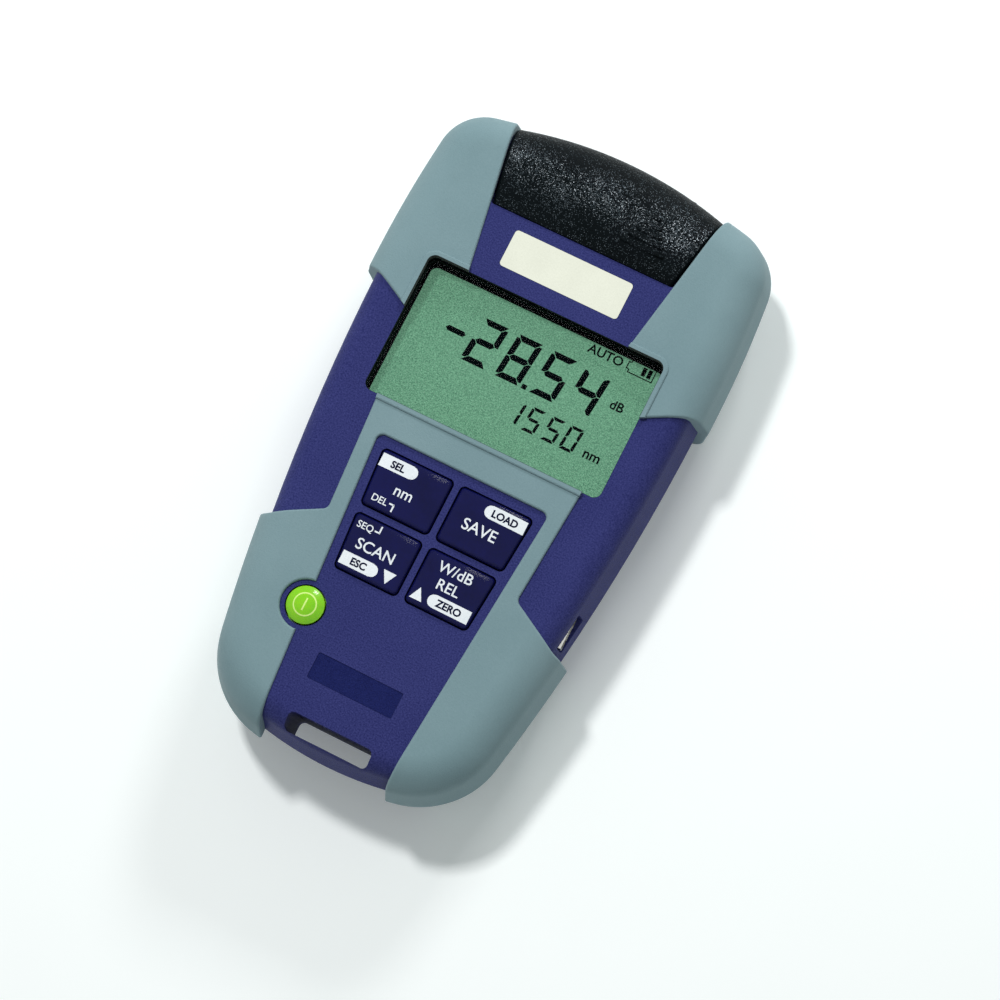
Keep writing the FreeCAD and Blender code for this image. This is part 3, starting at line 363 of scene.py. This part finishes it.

# glint is a painted glint on the rarest flakes, the highlight keys place a band of painted
# highlight, the nook keys painted shade beside the ribs
coverLook = {"dark": srgb(4, 8, 10), "light": srgb(14, 20, 23), "grain": 2200.0, "cloud": 110.0,
             "speckle": 0.6, "rough": 0.42, "spread": 0.3, "depth": 0.05, "specular": 0.04,
             "flake": srgb(70, 80, 86), "glint": srgb(206, 216, 222), "tilt": 0.42,
             "cellScale": 7600, "clusterScale": 100, "fewest": 0.03, "most": 0.42,
             "highlightBack": 13.0 * mm, "highlightHalf": 7.5 * mm, "highlightFloor": 0.12,
             "nookReach": 0.9 * mm, "nookDark": 0.72, "nookClear": 0.98}
windowLook = {"smearScale": 400.0, "smearRough": 0.03,
              "shader": {"Transmission Weight": 1.0, "IOR": 1.1, "Specular IOR Level": 0.3,
                         "Base Color": (0.97, 0.99, 0.98, 1.0)}}


def coverBlack():
    # black plastic with metallic flakes that lie in loose clusters; a band of highlight and the
    # glints on them are painted
    material = bpy.data.materials.new("coverBlack")
    tree = newTree(material)
    grain = addNode(tree, "ShaderNodeGroup", node_tree=grainGroup)
    setGrain(grain, coverLook)
    flakes = addNode(tree, "ShaderNodeGroup", node_tree=flakeGroup)
    setInputs(flakes, {"Cell Scale": coverLook["cellScale"], "Tilt": coverLook["tilt"]})
    cluster = spreadOf(tree, noise(tree, coverLook["clusterScale"], 3.0, 0.6), *noiseBand)
    # painted highlight: the flakes are densest and brightest along a band across the cover, a
    # little before its end
    place = addNode(tree, "ShaderNodeSeparateXYZ")
    coords = addNode(tree, "ShaderNodeTexCoord")
    tree.links.new(coords.outputs["Object"], place.inputs[0])
    highlightBandY = boxOf("end_cover")[1][1] - coverLook["highlightBack"]
    off = maths(tree, "ABSOLUTE", maths(tree, "SUBTRACT", place.outputs[1], float(highlightBandY)))
    highlightBand = addNode(tree, "ShaderNodeMapRange", interpolation_type="SMOOTHSTEP")
    tree.links.new(off, highlightBand.inputs["Value"])
    setInputs(highlightBand, {"From Min": 0.0, "From Max": coverLook["highlightHalf"],
                      "To Min": 1.0, "To Max": coverLook["highlightFloor"]})
    reach = coverLook["most"] - coverLook["fewest"]
    heaped = maths(tree, "MULTIPLY", cluster, highlightBand.outputs["Result"])
    dense = maths(tree, "MULTIPLY", heaped, reach)
    # painted shade: beside the ribs, where ambient occlusion finds them near, there are fewer
    # flakes
    nook = addNode(tree, "ShaderNodeAmbientOcclusion", samples=edgeSamples)
    setInputs(nook, {"Distance": coverLook["nookReach"]})
    clear = spreadOf(tree, nook.outputs["AO"], coverLook["nookDark"], coverLook["nookClear"])
    tree.links.new(maths(tree, "MULTIPLY", maths(tree, "ADD", dense, coverLook["fewest"]), clear),
                   flakes.inputs["Share"])
    body = addNode(tree, "ShaderNodeBsdfPrincipled")
    setInputs(body, {"Specular IOR Level": coverLook["specular"]})
    # painted glint: the rarest flakes take a near-white colour under any lamp, most along the
    # highlight band
    glint = maths(tree, "MULTIPLY", flakes.outputs["Glint"], highlightBand.outputs["Result"])
    flake = mixColour(tree, glint, coverLook["flake"], coverLook["glint"])
    tree.links.new(mixColour(tree, flakes.outputs["Mask"], grain.outputs["Colour"], flake),
                   body.inputs["Base Color"])
    tree.links.new(flakes.outputs["Mask"], body.inputs["Metallic"])
    tree.links.new(grain.outputs["Roughness"], body.inputs["Roughness"])
    normals = addNode(tree, "ShaderNodeMix", data_type="VECTOR")
    tree.links.new(flakes.outputs["Mask"], normals.inputs[0])
    tree.links.new(grain.outputs["Normal"], normals.inputs[4])
    tree.links.new(flakes.outputs["Normal"], normals.inputs[5])
    tree.links.new(normals.outputs[1], body.inputs["Normal"])
    closeTree(tree, body)
    return material


def clearWindow():
    # clear hard-coated plastic; the display's own light passes straight, so it is lit once
    material = bpy.data.materials.new("clearWindow")
    tree = newTree(material)
    body = addNode(tree, "ShaderNodeBsdfPrincipled")
    setInputs(body, windowLook["shader"])
    smear = noise(tree, windowLook["smearScale"], 2.0)
    tree.links.new(maths(tree, "MULTIPLY", smear, windowLook["smearRough"]),
                   body.inputs["Roughness"])
    clear = addNode(tree, "ShaderNodeBsdfTransparent")
    rays = addNode(tree, "ShaderNodeLightPath")
    mixed = addNode(tree, "ShaderNodeMixShader")
    passing = maths(tree, "MAXIMUM", rays.outputs["Is Shadow Ray"], rays.outputs["Is Diffuse Ray"])
    tree.links.new(passing, mixed.inputs[0])
    tree.links.new(body.outputs[0], mixed.inputs[1])
    tree.links.new(clear.outputs[0], mixed.inputs[2])
    closeTree(tree, mixed)
    return material


materials["coverBlack"] = coverBlack()
materials["clearWindow"] = clearWindow()

nodeFinish = {
    "bumperGrey": ["bumper_top_left", "bumper_top_right", "bumper_lower", "rear_bumper_top_left",
                   "rear_bumper_top_right", "rear_bumper_bottom_left", "rear_bumper_bottom_right"],
    "caseBlue": ["front_shell", "rear_shell", "battery_door"],
    "coverBlack": ["end_cover"],
    "plateCream": ["name_plate"],
    "inlayBlue": ["label_inlay"],
    "clearWindow": ["display_window"],
    "maskBlack": ["display_bezel"],
    "lcdGreen": ["lcd_module"],
    "boardGreen": ["main_board"],
    "chipBlack": ["board_chips", "switch_bodies"],
    "keyNavy": ["key_wavelength", "key_memory", "key_scan", "key_unit"],
    "buttonGreen": ["power_button"],
    "stemWhite": ["plunger_wavelength", "plunger_memory", "plunger_scan", "plunger_unit",
                  "plunger_power"],
    "paleNickel": ["optical_adapter", "usb_socket", "cell_contacts"],
    "sleeveWhite": ["ferrule_sleeve"],
    "plainSteel": ["cover_hinge_pin", "photodiode_housing", "adapter_screws", "shell_screws",
                   "board_screws"],
    "cellSleeve": ["battery_cell_a", "battery_cell_b"],
}
for finish, members in nodeFinish.items():
    for node in members:
        nodes[node].data.materials.clear()
        nodes[node].data.materials.append(materials[finish])
print("finishes are on", sum(len(members) for members in nodeFinish.values()), "nodes")


def dressPiece(name, mesh, finish, body):
    mesh.materials.clear()
    mesh.materials.append(materials[finish])
    piece = addObject(name, mesh)
    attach(piece, body)
    return piece


def meshPiece(name, verts, faces, finish, body):
    # verts is an (n, 3) array in metres; faces are index lists
    mesh = bpy.data.meshes.new(name)
    mesh.from_pydata(verts.tolist(), [], faces)
    mesh.validate()
    mesh.update()
    return dressPiece(name, mesh, finish, body)


def slabFaces(rows, columns, closed=False):
    # quads of a slab whose top grid is followed by its bottom grid, with the walls between
    grid = np.arange(rows * columns).reshape(rows, columns)
    wrap = np.concatenate([grid, grid[:, :1]], axis=1) if closed else grid
    top = np.stack([wrap[:-1, :-1], wrap[1:, :-1], wrap[1:, 1:], wrap[:-1, 1:]], -1).reshape(-1, 4)
    lower = top[:, ::-1] + rows * columns
    if closed:
        rims = [wrap[0][::-1], wrap[-1]]
    else:
        rims = [np.concatenate([grid[0][::-1], grid[1:, 0], grid[-1, 1:], grid[-2::-1, -1]])]
    walls = []
    for rim in rims:
        a, b = rim[:-1], rim[1:]
        walls.append(np.stack([a, a + rows * columns, b + rows * columns, b], -1))
    return np.concatenate([top, lower] + walls).tolist()


def slab(plan, heightAt, thickness, sink):
    # a plan grid (rows, columns, 2) laid on a surface: top at height + thickness - sink
    flat = plan.reshape(-1, 2)
    z = heightAt(flat[:, 0], flat[:, 1])
    top = np.column_stack([flat, z + thickness - sink])
    low = np.column_stack([flat, z - sink])
    return np.concatenate([top, low])


printed = {"thickness": 0.05 * mm, "sink": 0.02 * mm}


def layOn(plan, heightAt, closed=False):
    # a plan grid as a thin printed skin on a surface
    return (slab(plan, heightAt, printed["thickness"], printed["sink"]),
            slabFaces(*plan.shape[:2], closed=closed))


def joined(parts):
    # several (verts, faces) pairs as one pair
    verts, faces, base = [], [], 0
    for v, f in parts:
        verts.append(v)
        faces += [[i + base for i in face] for face in f]
        base += len(v)
    return np.concatenate(verts), faces


print("mesh tools ready")

# bold is in font sizes; capital is the height of the built-in font's capitals
legend = {"bold": 0.009, "pillBold": 0.034, "capital": 0.73, "curveSteps": 6,
          "stroke": 0.34 * mm, "tip": 0.01 * mm, "crownRadius": 70.0 * mm}
# rows and columns of the grids, and the points of a quarter circle and of the ring
gridSteps = {"pill": (13, 33), "stroke": (3, 9), "triangle": (7, 9), "quarter": 9, "ring": 72}


def crownOf(node):
    # height of a key's crowned top: an arc across X whose crest is where the mesh is highest
    co = pointsOf(nodes[node].data)
    top = co[:, 2].max()
    crestX = co[co[:, 2] > top - 0.001 * mm, 0].mean()
    radius = legend["crownRadius"]

    def heightAt(x, y):
        return top - radius + np.sqrt(radius ** 2 - (x - crestX) ** 2)
    return heightAt


def textMesh(words, height, centre, heightAt, name, finish, body, bold=legend["bold"]):
    # words as a thin solid; centre is the middle of the baseline, height that of a capital
    curve = bpy.data.curves.new(name, "FONT")
    curve.body = words
    curve.align_x = "CENTER"
    curve.size = 1.0
    curve.offset = bold
    curve.resolution_u = legend["curveSteps"]
    curve.extrude = 0.5
    made = addObject(name, curve)
    bpy.context.view_layer.update()
    solid = made.evaluated_get(bpy.context.evaluated_depsgraph_get())
    mesh = bpy.data.meshes.new_from_object(solid)
    bpy.data.objects.remove(made)
    co = pointsOf(mesh)
    capital = legend["capital"] / height
    x = centre[0] + co[:, 0] / capital
    y = centre[1] + co[:, 1] / capital
    lift = np.where(co[:, 2] > 0, printed["thickness"] - printed["sink"], -printed["sink"])
    mesh.vertices.foreach_set("co", np.column_stack([x, y, heightAt(x, y) + lift]).ravel())
    mesh.update()
    dressPiece(name, mesh, finish, body)


def pillPlan(low, high, roundSide):
    # plan grid of a bar whose one end is a half circle: columns run along X, rows across
    rows, columns = gridSteps["pill"]
    v = np.linspace(-1, 1, rows)
    u = np.linspace(0, 1, columns)
    half = (high[1] - low[1]) / 2
    middle = (high[1] + low[1]) / 2
    bulge = np.sqrt(np.clip(1 - v ** 2, 0, 1)) * half
    if roundSide > 0:
        start, end = np.full_like(v, low[0]), high[0] - half + bulge
    else:
        start, end = low[0] + half - bulge, np.full_like(v, high[0])
    x = start[:, None] + (end - start)[:, None] * u[None, :]
    y = np.broadcast_to((middle + v * half)[:, None], x.shape)
    return np.stack([x, y], -1)


def strokePlan(a, b, width):
    # plan grid of a straight stroke from a to b
    a, b = np.array(a, float), np.array(b, float)
    along = (b - a) / np.linalg.norm(b - a)
    side = np.array([along[1], -along[0]]) * width / 2
    rows, columns = gridSteps["stroke"]
    t = np.linspace(0, 1, columns)[None, :, None]
    s = np.linspace(1, -1, rows)[:, None, None]
    return a + (b - a) * t + side * s


def trianglePlan(low, high, upward):
    # plan grid of a triangle: rows narrow from the base to the tip
    rows, columns = gridSteps["triangle"]
    t = np.linspace(0, 1, rows)
    s = np.linspace(-1, 1, columns)
    half = (high[0] - low[0]) / 2
    middle = (high[0] + low[0]) / 2
    y = low[1] + (high[1] - low[1]) * t
    width = half * (1 - t) if upward else half * t
    width = np.maximum(width, legend["tip"])
    x = middle + s[None, :] * width[:, None]
    return np.stack([x, np.broadcast_to(y[:, None], x.shape)], -1)


# offsets in millimetres from the middle of each key's box
keyLegends = {
    "wavelength": {
        "pill": ((-7.75, 2.45), (0.89, 5.37), 1), "pillWords": ("SEL", 1.6, (-3.65, 3.12)),
        "words": [("nm", 2.5, (0.0, -1.85)), ("DEL", 1.55, (-3.98, -4.75))],
        "strokes": [((-1.75, -3.92), (-0.5, -3.92)), ((-0.67, -3.78), (-0.67, -5.45))]},
    "memory": {
        "pill": ((-1.65, 2.35), (7.75, 5.27), -1), "pillWords": ("LOAD", 1.6, (3.0, 3.02)),
        "words": [("SAVE", 2.6, (-0.7, -1.85))], "strokes": []},
    "scan": {
        "pill": ((-6.35, -5.17), (2.18, -2.27), 1), "pillWords": ("ESC", 1.6, (-2.25, -4.5)),
        "words": [("SEQ", 1.55, (-4.57, 3.33)), ("SCAN", 2.5, (-0.27, -0.85))],
        "strokes": [((-1.27, 5.5), (-1.27, 3.85)), ((-1.1, 3.98), (-2.35, 3.98))],
        "triangle": ((3.08, -5.07), (6.01, -2.27), False)},
    "unit": {
        "pill": ((-3.28, -5.17), (6.3, -2.27), -1), "pillWords": ("ZERO", 1.6, (1.57, -4.5)),
        "words": [("W/dB", 2.4, (-0.4, 2.45)), ("REL", 2.4, (-0.48, -1.1))], "strokes": [],
        "triangle": ((-7.04, -5.07), (-4.18, -2.27), True)},
}


def dressKey(key, marks):
    # the white marks as one piece, each word as its own
    node = "key_" + key
    body = node + "_body"
    heightAt = crownOf(node)
    centre = centreOf(node)[:2]

    def place(point):
        return centre + np.array(point) * mm

    low, high, side = marks["pill"]
    plans = [pillPlan(place(low), place(high), side)]
    plans += [strokePlan(place(a), place(b), legend["stroke"]) for a, b in marks["strokes"]]
    if "triangle" in marks:
        low, high, upward = marks["triangle"]
        plans.append(trianglePlan(place(low), place(high), upward))
    verts, faces = joined([layOn(plan, heightAt) for plan in plans])
    meshPiece("marks_" + key, verts, faces, "legendWhite", body)

    for i, (words, height, spot) in enumerate(marks["words"]):
        textMesh(words, height * mm, place(spot), heightAt, "words_%s_%d" % (key, i),
                 "legendWhite", body)

    def overPill(x, y):
        return heightAt(x, y) + printed["thickness"] - printed["sink"]
    words, height, spot = marks["pillWords"]
    textMesh(words, height * mm, place(spot), overPill, "pill_words_" + key,
             "legendInk", body, bold=legend["pillBold"])


for key, marks in keyLegends.items():
    dressKey(key, marks)
print("key legends are on")

powerMark = {"ring": 2.4 * mm, "ringWidth": 0.3 * mm, "bar": 2.8 * mm, "barWidth": 0.34 * mm,
             "radius": 4.05 * mm, "dome": 1.25 * mm}


def dressButton():
    # a ring and a bar that follow the dome, a spherical cap
    top = boxOf("power_button")[1][2]
    centre = centreOf("power_button")[:2]
    ball = (powerMark["radius"] ** 2 + powerMark["dome"] ** 2) / (2 * powerMark["dome"])

    def heightAt(x, y):
        return top - ball + np.sqrt(ball ** 2 - (x - centre[0]) ** 2 - (y - centre[1]) ** 2)

    turn = np.linspace(0, 2 * math.pi, gridSteps["ring"], endpoint=False)
    reach = powerMark["ring"] + powerMark["ringWidth"] * np.array([-0.5, 0.0, 0.5])
    ring = centre + reach[:, None, None] * np.stack([np.cos(turn), np.sin(turn)], -1)[None]
    half = np.array([0, powerMark["bar"] / 2])
    bar = strokePlan(centre - half, centre + half, powerMark["barWidth"])
    verts, faces = joined([layOn(ring, heightAt, closed=True), layOn(bar, heightAt)])
    meshPiece("power_mark", verts, faces, "ringPale", "power_body")


dressButton()
print("power mark is on")

# millimetres from the middle of the display; figures are (figure, left edge)
display = {
    "slant": 0.09, "gap": 0.09, "mitre": 0.75, "lift": 0.02 * mm, "wordBold": 0.02,
    "big": {"height": 10.35, "width": 5.95, "stroke": 1.32, "base": -0.63,
            "figures": [("2", -12.96), ("8", -4.87), ("5", 3.33), ("4", 11.33)]},
    "small": {"height": 5.6, "width": 3.2, "stroke": 0.68, "base": -8.73,
              "figures": [("1", 0.97), ("5", 5.45), ("5", 10.1), ("0", 14.45)]},
    "minus": [(-18.75, 4.35), (-18.2, 3.75), (-14.6, 3.75), (-14.04, 4.35), (-14.6, 4.95),
              (-18.2, 4.95)],
    "point": ((1.65, -0.72), (2.75, 0.35)),
    "words": [("AUTO", 2.1, (14.75, 12.7)), ("dB", 2.1, (21.8, 3.7)), ("nm", 2.3, (21.8, -8.33))],
}
battery = {"low": (20.3, 12.3), "high": (26.1, 15.4), "line": 0.24, "mouth": (13.1, 14.6),
           "nubLeft": 19.7, "nub": (13.0, 14.7),
           "bars": [((24.5, 12.9), (25.4, 14.85)), ((23.2, 12.9), (24.1, 14.85))]}
segmentsOf = {"0": "abcdef", "1": "bc", "2": "abged", "4": "fgbc", "5": "afgcd", "8": "abcdefg"}


def segmentPlan(letter, width, height, stroke, gap):
    # corners of one segment, before the slant: mitred ends, the outer side reaching the corner
    half, mid = stroke / 2, height / 2
    x0, x1 = half, width - half
    y0, y2 = half, height - half
    ends = {"a": ((x0, y2), (x1, y2)), "d": ((x0, y0), (x1, y0)), "g": ((x0, mid), (x1, mid)),
            "f": ((x0, mid), (x0, y2)), "e": ((x0, y0), (x0, mid)), "b": ((x1, mid), (x1, y2)),
            "c": ((x1, y0), (x1, mid))}
    a, b = (np.array(p) for p in ends[letter])
    along = (b - a) / np.linalg.norm(b - a)
    side = np.array([-along[1], along[0]]) * half
    a, b = a + along * gap, b - along * gap
    if letter == "g":
        return np.array([a, a + along * half - side, b - along * half - side, b,
                         b - along * half + side, a + along * half + side])
    inner = side * np.sign(np.dot(np.array([width / 2, mid]) - (a + b) / 2, side))
    corner = half if letter in "ad" else 0.0
    corner = corner * display["mitre"]
    return np.array([a - inner - along * corner, a, a + inner + along * half,
                     b + inner - along * half, b, b - inner + along * corner])


def levelAt(z):
    # a flat surface at that height
    def heightAt(x, y):
        return np.full_like(x, z)
    return heightAt


def flatPrism(points, z, thickness):
    # a flat outline as a thin closed prism
    count = len(points)
    top = np.column_stack([points, np.full(count, z + thickness)])
    low = np.column_stack([points, np.full(count, z)])
    ring = list(range(count))
    x, y = points.T
    area = np.sum(x * np.roll(y, -1) - np.roll(x, -1) * y)
    if area < 0:
        ring.reverse()
    faces = [ring, [i + count for i in reversed(ring)]]
    for i in range(count):
        a, b = ring[i], ring[(i + 1) % count]
        faces.append([a, a + count, b + count, b])
    return np.concatenate([top, low]), faces


def digitParts(figure, x0, size, centre, z):
    # the segments of one figure, each point moved right by the slant times its height
    parts = []
    for letter in segmentsOf[figure]:
        corners = segmentPlan(letter, size["width"], size["height"], size["stroke"], display["gap"])
        corners = np.column_stack([corners[:, 0] + display["slant"] * corners[:, 1], corners[:, 1]])
        spot = np.array([x0, size["base"]])
        parts.append(flatPrism(centre + (corners + spot) * mm, z, display["lift"]))
    return parts


def rectangle(low, high):
    return [low, (high[0], low[1]), high, (low[0], high[1])]


def batteryRectangles():
    # the outline of a cell, its nub on the left with the mouth behind it, and the charge bars
    (x0, y0), (x1, y1), line = battery["low"], battery["high"], battery["line"]
    mouthLow, mouthHigh = battery["mouth"]
    nubLow, nubHigh = battery["nub"]
    nubLeft = battery["nubLeft"]
    return [((x0, y0), (x1, y0 + line)), ((x0, y1 - line), (x1, y1)), ((x1 - line, y0), (x1, y1)),
            ((x0, y0), (x0 + line, mouthLow)), ((x0, mouthHigh), (x0 + line, y1)),
            ((nubLeft, nubLow), (x0, nubLow + line)), ((nubLeft, nubHigh - line), (x0, nubHigh)),
            ((nubLeft, nubLow), (nubLeft + line, nubHigh))] + battery["bars"]


def dressDisplay():
    centre = centreOf("lcd_module")[:2]
    z = boxOf("lcd_module")[1][2]
    parts = []
    for size in (display["big"], display["small"]):
        for figure, x0 in size["figures"]:
            parts += digitParts(figure, x0, size, centre, z)
    outlines = [display["minus"], rectangle(*display["point"])]
    outlines += [rectangle(low, high) for low, high in batteryRectangles()]
    for outline in outlines:
        parts.append(flatPrism(centre + np.array(outline) * mm, z, display["lift"]))
    verts, faces = joined(parts)
    meshPiece("display_figures", verts, faces, "segmentInk", "meter_body")
    for i, (words, height, spot) in enumerate(display["words"]):
        textMesh(words, height * mm, centre + np.array(spot) * mm, levelAt(z),
                 "display_words_%d" % i, "segmentInk", "meter_body",
                 bold=display["wordBold"])


dressDisplay()
print("display figures are on")

# black mask printed round the display's glass, widened at the top and the left into painted shade
# of the recess
mask = {"top": 1.0 * mm, "left": 0.5 * mm, "hidden": 0.15 * mm, "outward": 0.8 * mm,
        "corner": 1.6 * mm, "lift": 0.03 * mm, "thickness": 0.03 * mm}


def outlineOf(low, high, corner):
    # a rectangle with quarter-circle corners, counter-clockwise
    quarter = np.linspace(0, math.pi / 2, gridSteps["quarter"])
    points = []
    for k, (x, y) in enumerate(rectangle(low + corner, high - corner)):
        turn = quarter + (k - 2) * math.pi / 2
        points.append(np.column_stack([x + corner * np.cos(turn), y + corner * np.sin(turn)]))
    return np.concatenate(points)


def maskAndShadeDisplay():
    # a closed band between two rounded rectangles, wider at the top and the left, where it is
    # painted shade that the recess casts on the display
    low, high = boxOf("display_window")
    low, high = low[:2] + opening["rim"], high[:2] - opening["rim"]
    z = boxOf("lcd_module")[1][2] + mask["lift"]
    inner = outlineOf(low + (mask["left"], -mask["hidden"]), high + (mask["hidden"], -mask["top"]),
                      mask["corner"])
    outer = outlineOf(low - mask["outward"], high + mask["outward"],
                      mask["corner"] + mask["outward"])
    plan = np.stack([inner, outer])
    meshPiece("display_mask_and_shade", slab(plan, levelAt(z), mask["thickness"], 0.0),
              slabFaces(*plan.shape[:2], closed=True), "maskBlack", "meter_body")


maskAndShadeDisplay()
print("display mask is on")

# end cover with the fuller bow of its end
bow = {"endBack": 2.7 * mm, "apexGain": 0.95 * mm, "radius": 92.0 * mm, "solidRadius": 140.0 * mm,
       "start": 9.2 * mm, "full": 4.6 * mm, "eyeTop": 15.0 * mm, "skirt": 17.0 * mm,
       "eyeShrink": 0.72, "eyeKeep": 1.3 * mm, "merge": 0.002 * mm, "crease": math.radians(32)}


def smooth(t):
    # 0 to 1 with level ends: three squares less two cubes
    t = np.clip(t, 0, 1)
    return t * t * (3 - 2 * t)


def dropOf(x, radius):
    # how far an arc of that radius has fallen back at x from its middle
    return radius - np.sqrt(radius ** 2 - x ** 2)


def bowedCover():
    # a merged copy of the cover whose end wall and hinge eyes are moved
    high = boxOf("end_cover")[1]
    pinY, pinZ = centreOf("cover_hinge_pin")[1:]
    work = bmesh.new()
    work.from_mesh(nodes["end_cover"].data)
    bmesh.ops.remove_doubles(work, verts=work.verts, dist=bow["merge"])
    mesh = bpy.data.meshes.new("bowed_cover")
    work.to_mesh(mesh)
    work.free()
    x, y, z = pointsOf(mesh).T
    # the end wall and the round above it move out by the difference of the two arcs
    end = high[1] - bow["endBack"]
    gain = bow["apexGain"] - dropOf(x, bow["radius"]) + dropOf(x, bow["solidRadius"])
    share = smooth((y - (end - bow["start"])) / (bow["start"] - bow["full"]))
    share = share * smooth((z - bow["eyeTop"]) / (bow["skirt"] - bow["eyeTop"]))
    moved = y + gain * share
    # the hinge eyes are a little slimmer, round the pin
    reach = np.hypot(y - pinY, z - pinZ)
    eye = (reach > bow["eyeKeep"]) & (z < bow["eyeTop"]) & (y > pinY - bow["eyeKeep"])
    moved = np.where(eye, pinY + (y - pinY) * bow["eyeShrink"], moved)
    height = np.where(eye, pinZ + (z - pinZ) * bow["eyeShrink"], z)
    mesh.vertices.foreach_set("co", np.column_stack([x, moved, height]).ravel())
    mesh.shade_smooth()
    mesh.set_sharp_from_angle(angle=bow["crease"])
    mesh.update()
    piece = dressPiece("bowed_cover", mesh, "coverBlack", "cover")
    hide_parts("end_cover")


bowedCover()
print("cover end is bowed")

studio = {"floor": 2.4, "floorDark": (0.9, 0.93, 0.92, 1.0), "floorLight": (0.92, 0.95, 0.94, 1.0),
          "floorCloud": 30.0, "glow": 0.16, "glowColour": (0.94, 1.0, 1.0, 1.0),
          "world": 0.31, "ambient": (0.94, 1.0, 1.0, 1.0), "white": (1.0, 1.0, 1.0, 1.0)}
# direction points from the aim to the lamp; sizes and distances in metres, power in watts
lamps = {
    "overhead": {"direction": (-0.36, 0.29, 0.89), "distance": 1.1, "size": (0.11, 0.11),
                 "power": 6.8, "glossy": False},
    "endPanel": {"direction": (0.01, 0.85, 0.53), "distance": 0.7, "size": (0.16, 0.12),
                 "power": 1.7, "glossy": True},
}
shot = {"azimuth": 41.63, "elevation": 78.54, "roll": -15.11, "distance": 611.26 * mm,
        "besideDisplay": (9.34 * mm, -25.06 * mm), "height": 30.0 * mm,
        "lens": 105.32, "sensor": 36.0, "nearest": 10.0 * mm}
shot["aim"] = tuple(centreOf("lcd_module")[:2] + shot["besideDisplay"]) + (shot["height"],)


def backgroundRays(tree):
    # the rays that show the white background: the camera's, and what metal and glass pass on
    rays = addNode(tree, "ShaderNodeLightPath")
    passed = maths(tree, "MAXIMUM", rays.outputs["Is Glossy Ray"],
                   rays.outputs["Is Transmission Ray"])
    return maths(tree, "MAXIMUM", rays.outputs["Is Camera Ray"], passed)


def makeFloor():
    half = studio["floor"] / 2
    mesh = bpy.data.meshes.new("floor")
    corners = [(-half, -half, 0), (half, -half, 0), (half, half, 0), (-half, half, 0)]
    mesh.from_pydata(corners, [], [(0, 1, 2, 3)])
    floor = addObject("floor", mesh)
    material = bpy.data.materials.new("paleFloor")
    tree = newTree(material)
    body = addNode(tree, "ShaderNodeBsdfDiffuse")
    cloud = noise(tree, studio["floorCloud"], 3.0)
    tree.links.new(mixColour(tree, cloud, studio["floorDark"], studio["floorLight"]),
                   body.inputs["Color"])
    glow = addNode(tree, "ShaderNodeEmission")
    setInputs(glow, {"Color": studio["glowColour"]})
    tree.links.new(maths(tree, "MULTIPLY", backgroundRays(tree), studio["glow"]),
                   glow.inputs["Strength"])
    total = addNode(tree, "ShaderNodeAddShader")
    tree.links.new(body.outputs[0], total.inputs[0])
    tree.links.new(glow.outputs[0], total.inputs[1])
    closeTree(tree, total)
    mesh.materials.append(material)


def makeWorld():
    world = bpy.data.worlds.new("studio")
    bpy.context.scene.world = world
    tree = newTree(world)
    soft = addNode(tree, "ShaderNodeBackground")
    setInputs(soft, {"Color": studio["ambient"], "Strength": studio["world"]})
    white = addNode(tree, "ShaderNodeBackground")
    setInputs(white, {"Color": studio["white"], "Strength": 1.0})
    mixed = addNode(tree, "ShaderNodeMixShader")
    tree.links.new(backgroundRays(tree), mixed.inputs[0])
    tree.links.new(soft.outputs[0], mixed.inputs[1])
    tree.links.new(white.outputs[0], mixed.inputs[2])
    closeTree(tree, mixed, "ShaderNodeOutputWorld")


def makeLamp(name, lamp):
    data = bpy.data.lights.new(name, "AREA")
    data.shape = "RECTANGLE"
    data.size, data.size_y = lamp["size"]
    data.energy = lamp["power"]
    holder = addObject(name, data)
    direction = Vector(lamp["direction"]).normalized()
    holder.location = Vector(shot["aim"]) + direction * lamp["distance"]
    holder.rotation_mode = "QUATERNION"
    holder.rotation_quaternion = direction.to_track_quat("Z", "Y")
    holder.visible_glossy = lamp["glossy"]


def makeCamera():
    # stands off the aim point along an azimuth and an elevation, then rolls about its own axis
    a, e, r = (math.radians(shot[key]) for key in ("azimuth", "elevation", "roll"))
    back = Vector((math.sin(a) * math.cos(e), -math.cos(a) * math.cos(e), math.sin(e)))
    level = Vector((math.cos(a), math.sin(a), 0))
    upright = back.cross(level)
    right = level * math.cos(r) + upright * math.sin(r)
    up = back.cross(right)
    data = bpy.data.cameras.new("camera")
    data.lens = shot["lens"]
    data.sensor_width = shot["sensor"]
    data.clip_start = shot["nearest"]
    camera = addObject("camera", data)
    turned = Matrix((right, up, back)).transposed().to_4x4()
    turned.translation = Vector(shot["aim"]) + back * shot["distance"]
    camera.matrix_world = turned
    bpy.context.scene.camera = camera


makeFloor()
makeWorld()
for name, lamp in lamps.items():
    makeLamp(name, lamp)
makeCamera()
bpy.context.scene.view_settings.view_transform = "Standard"
print("studio is set")
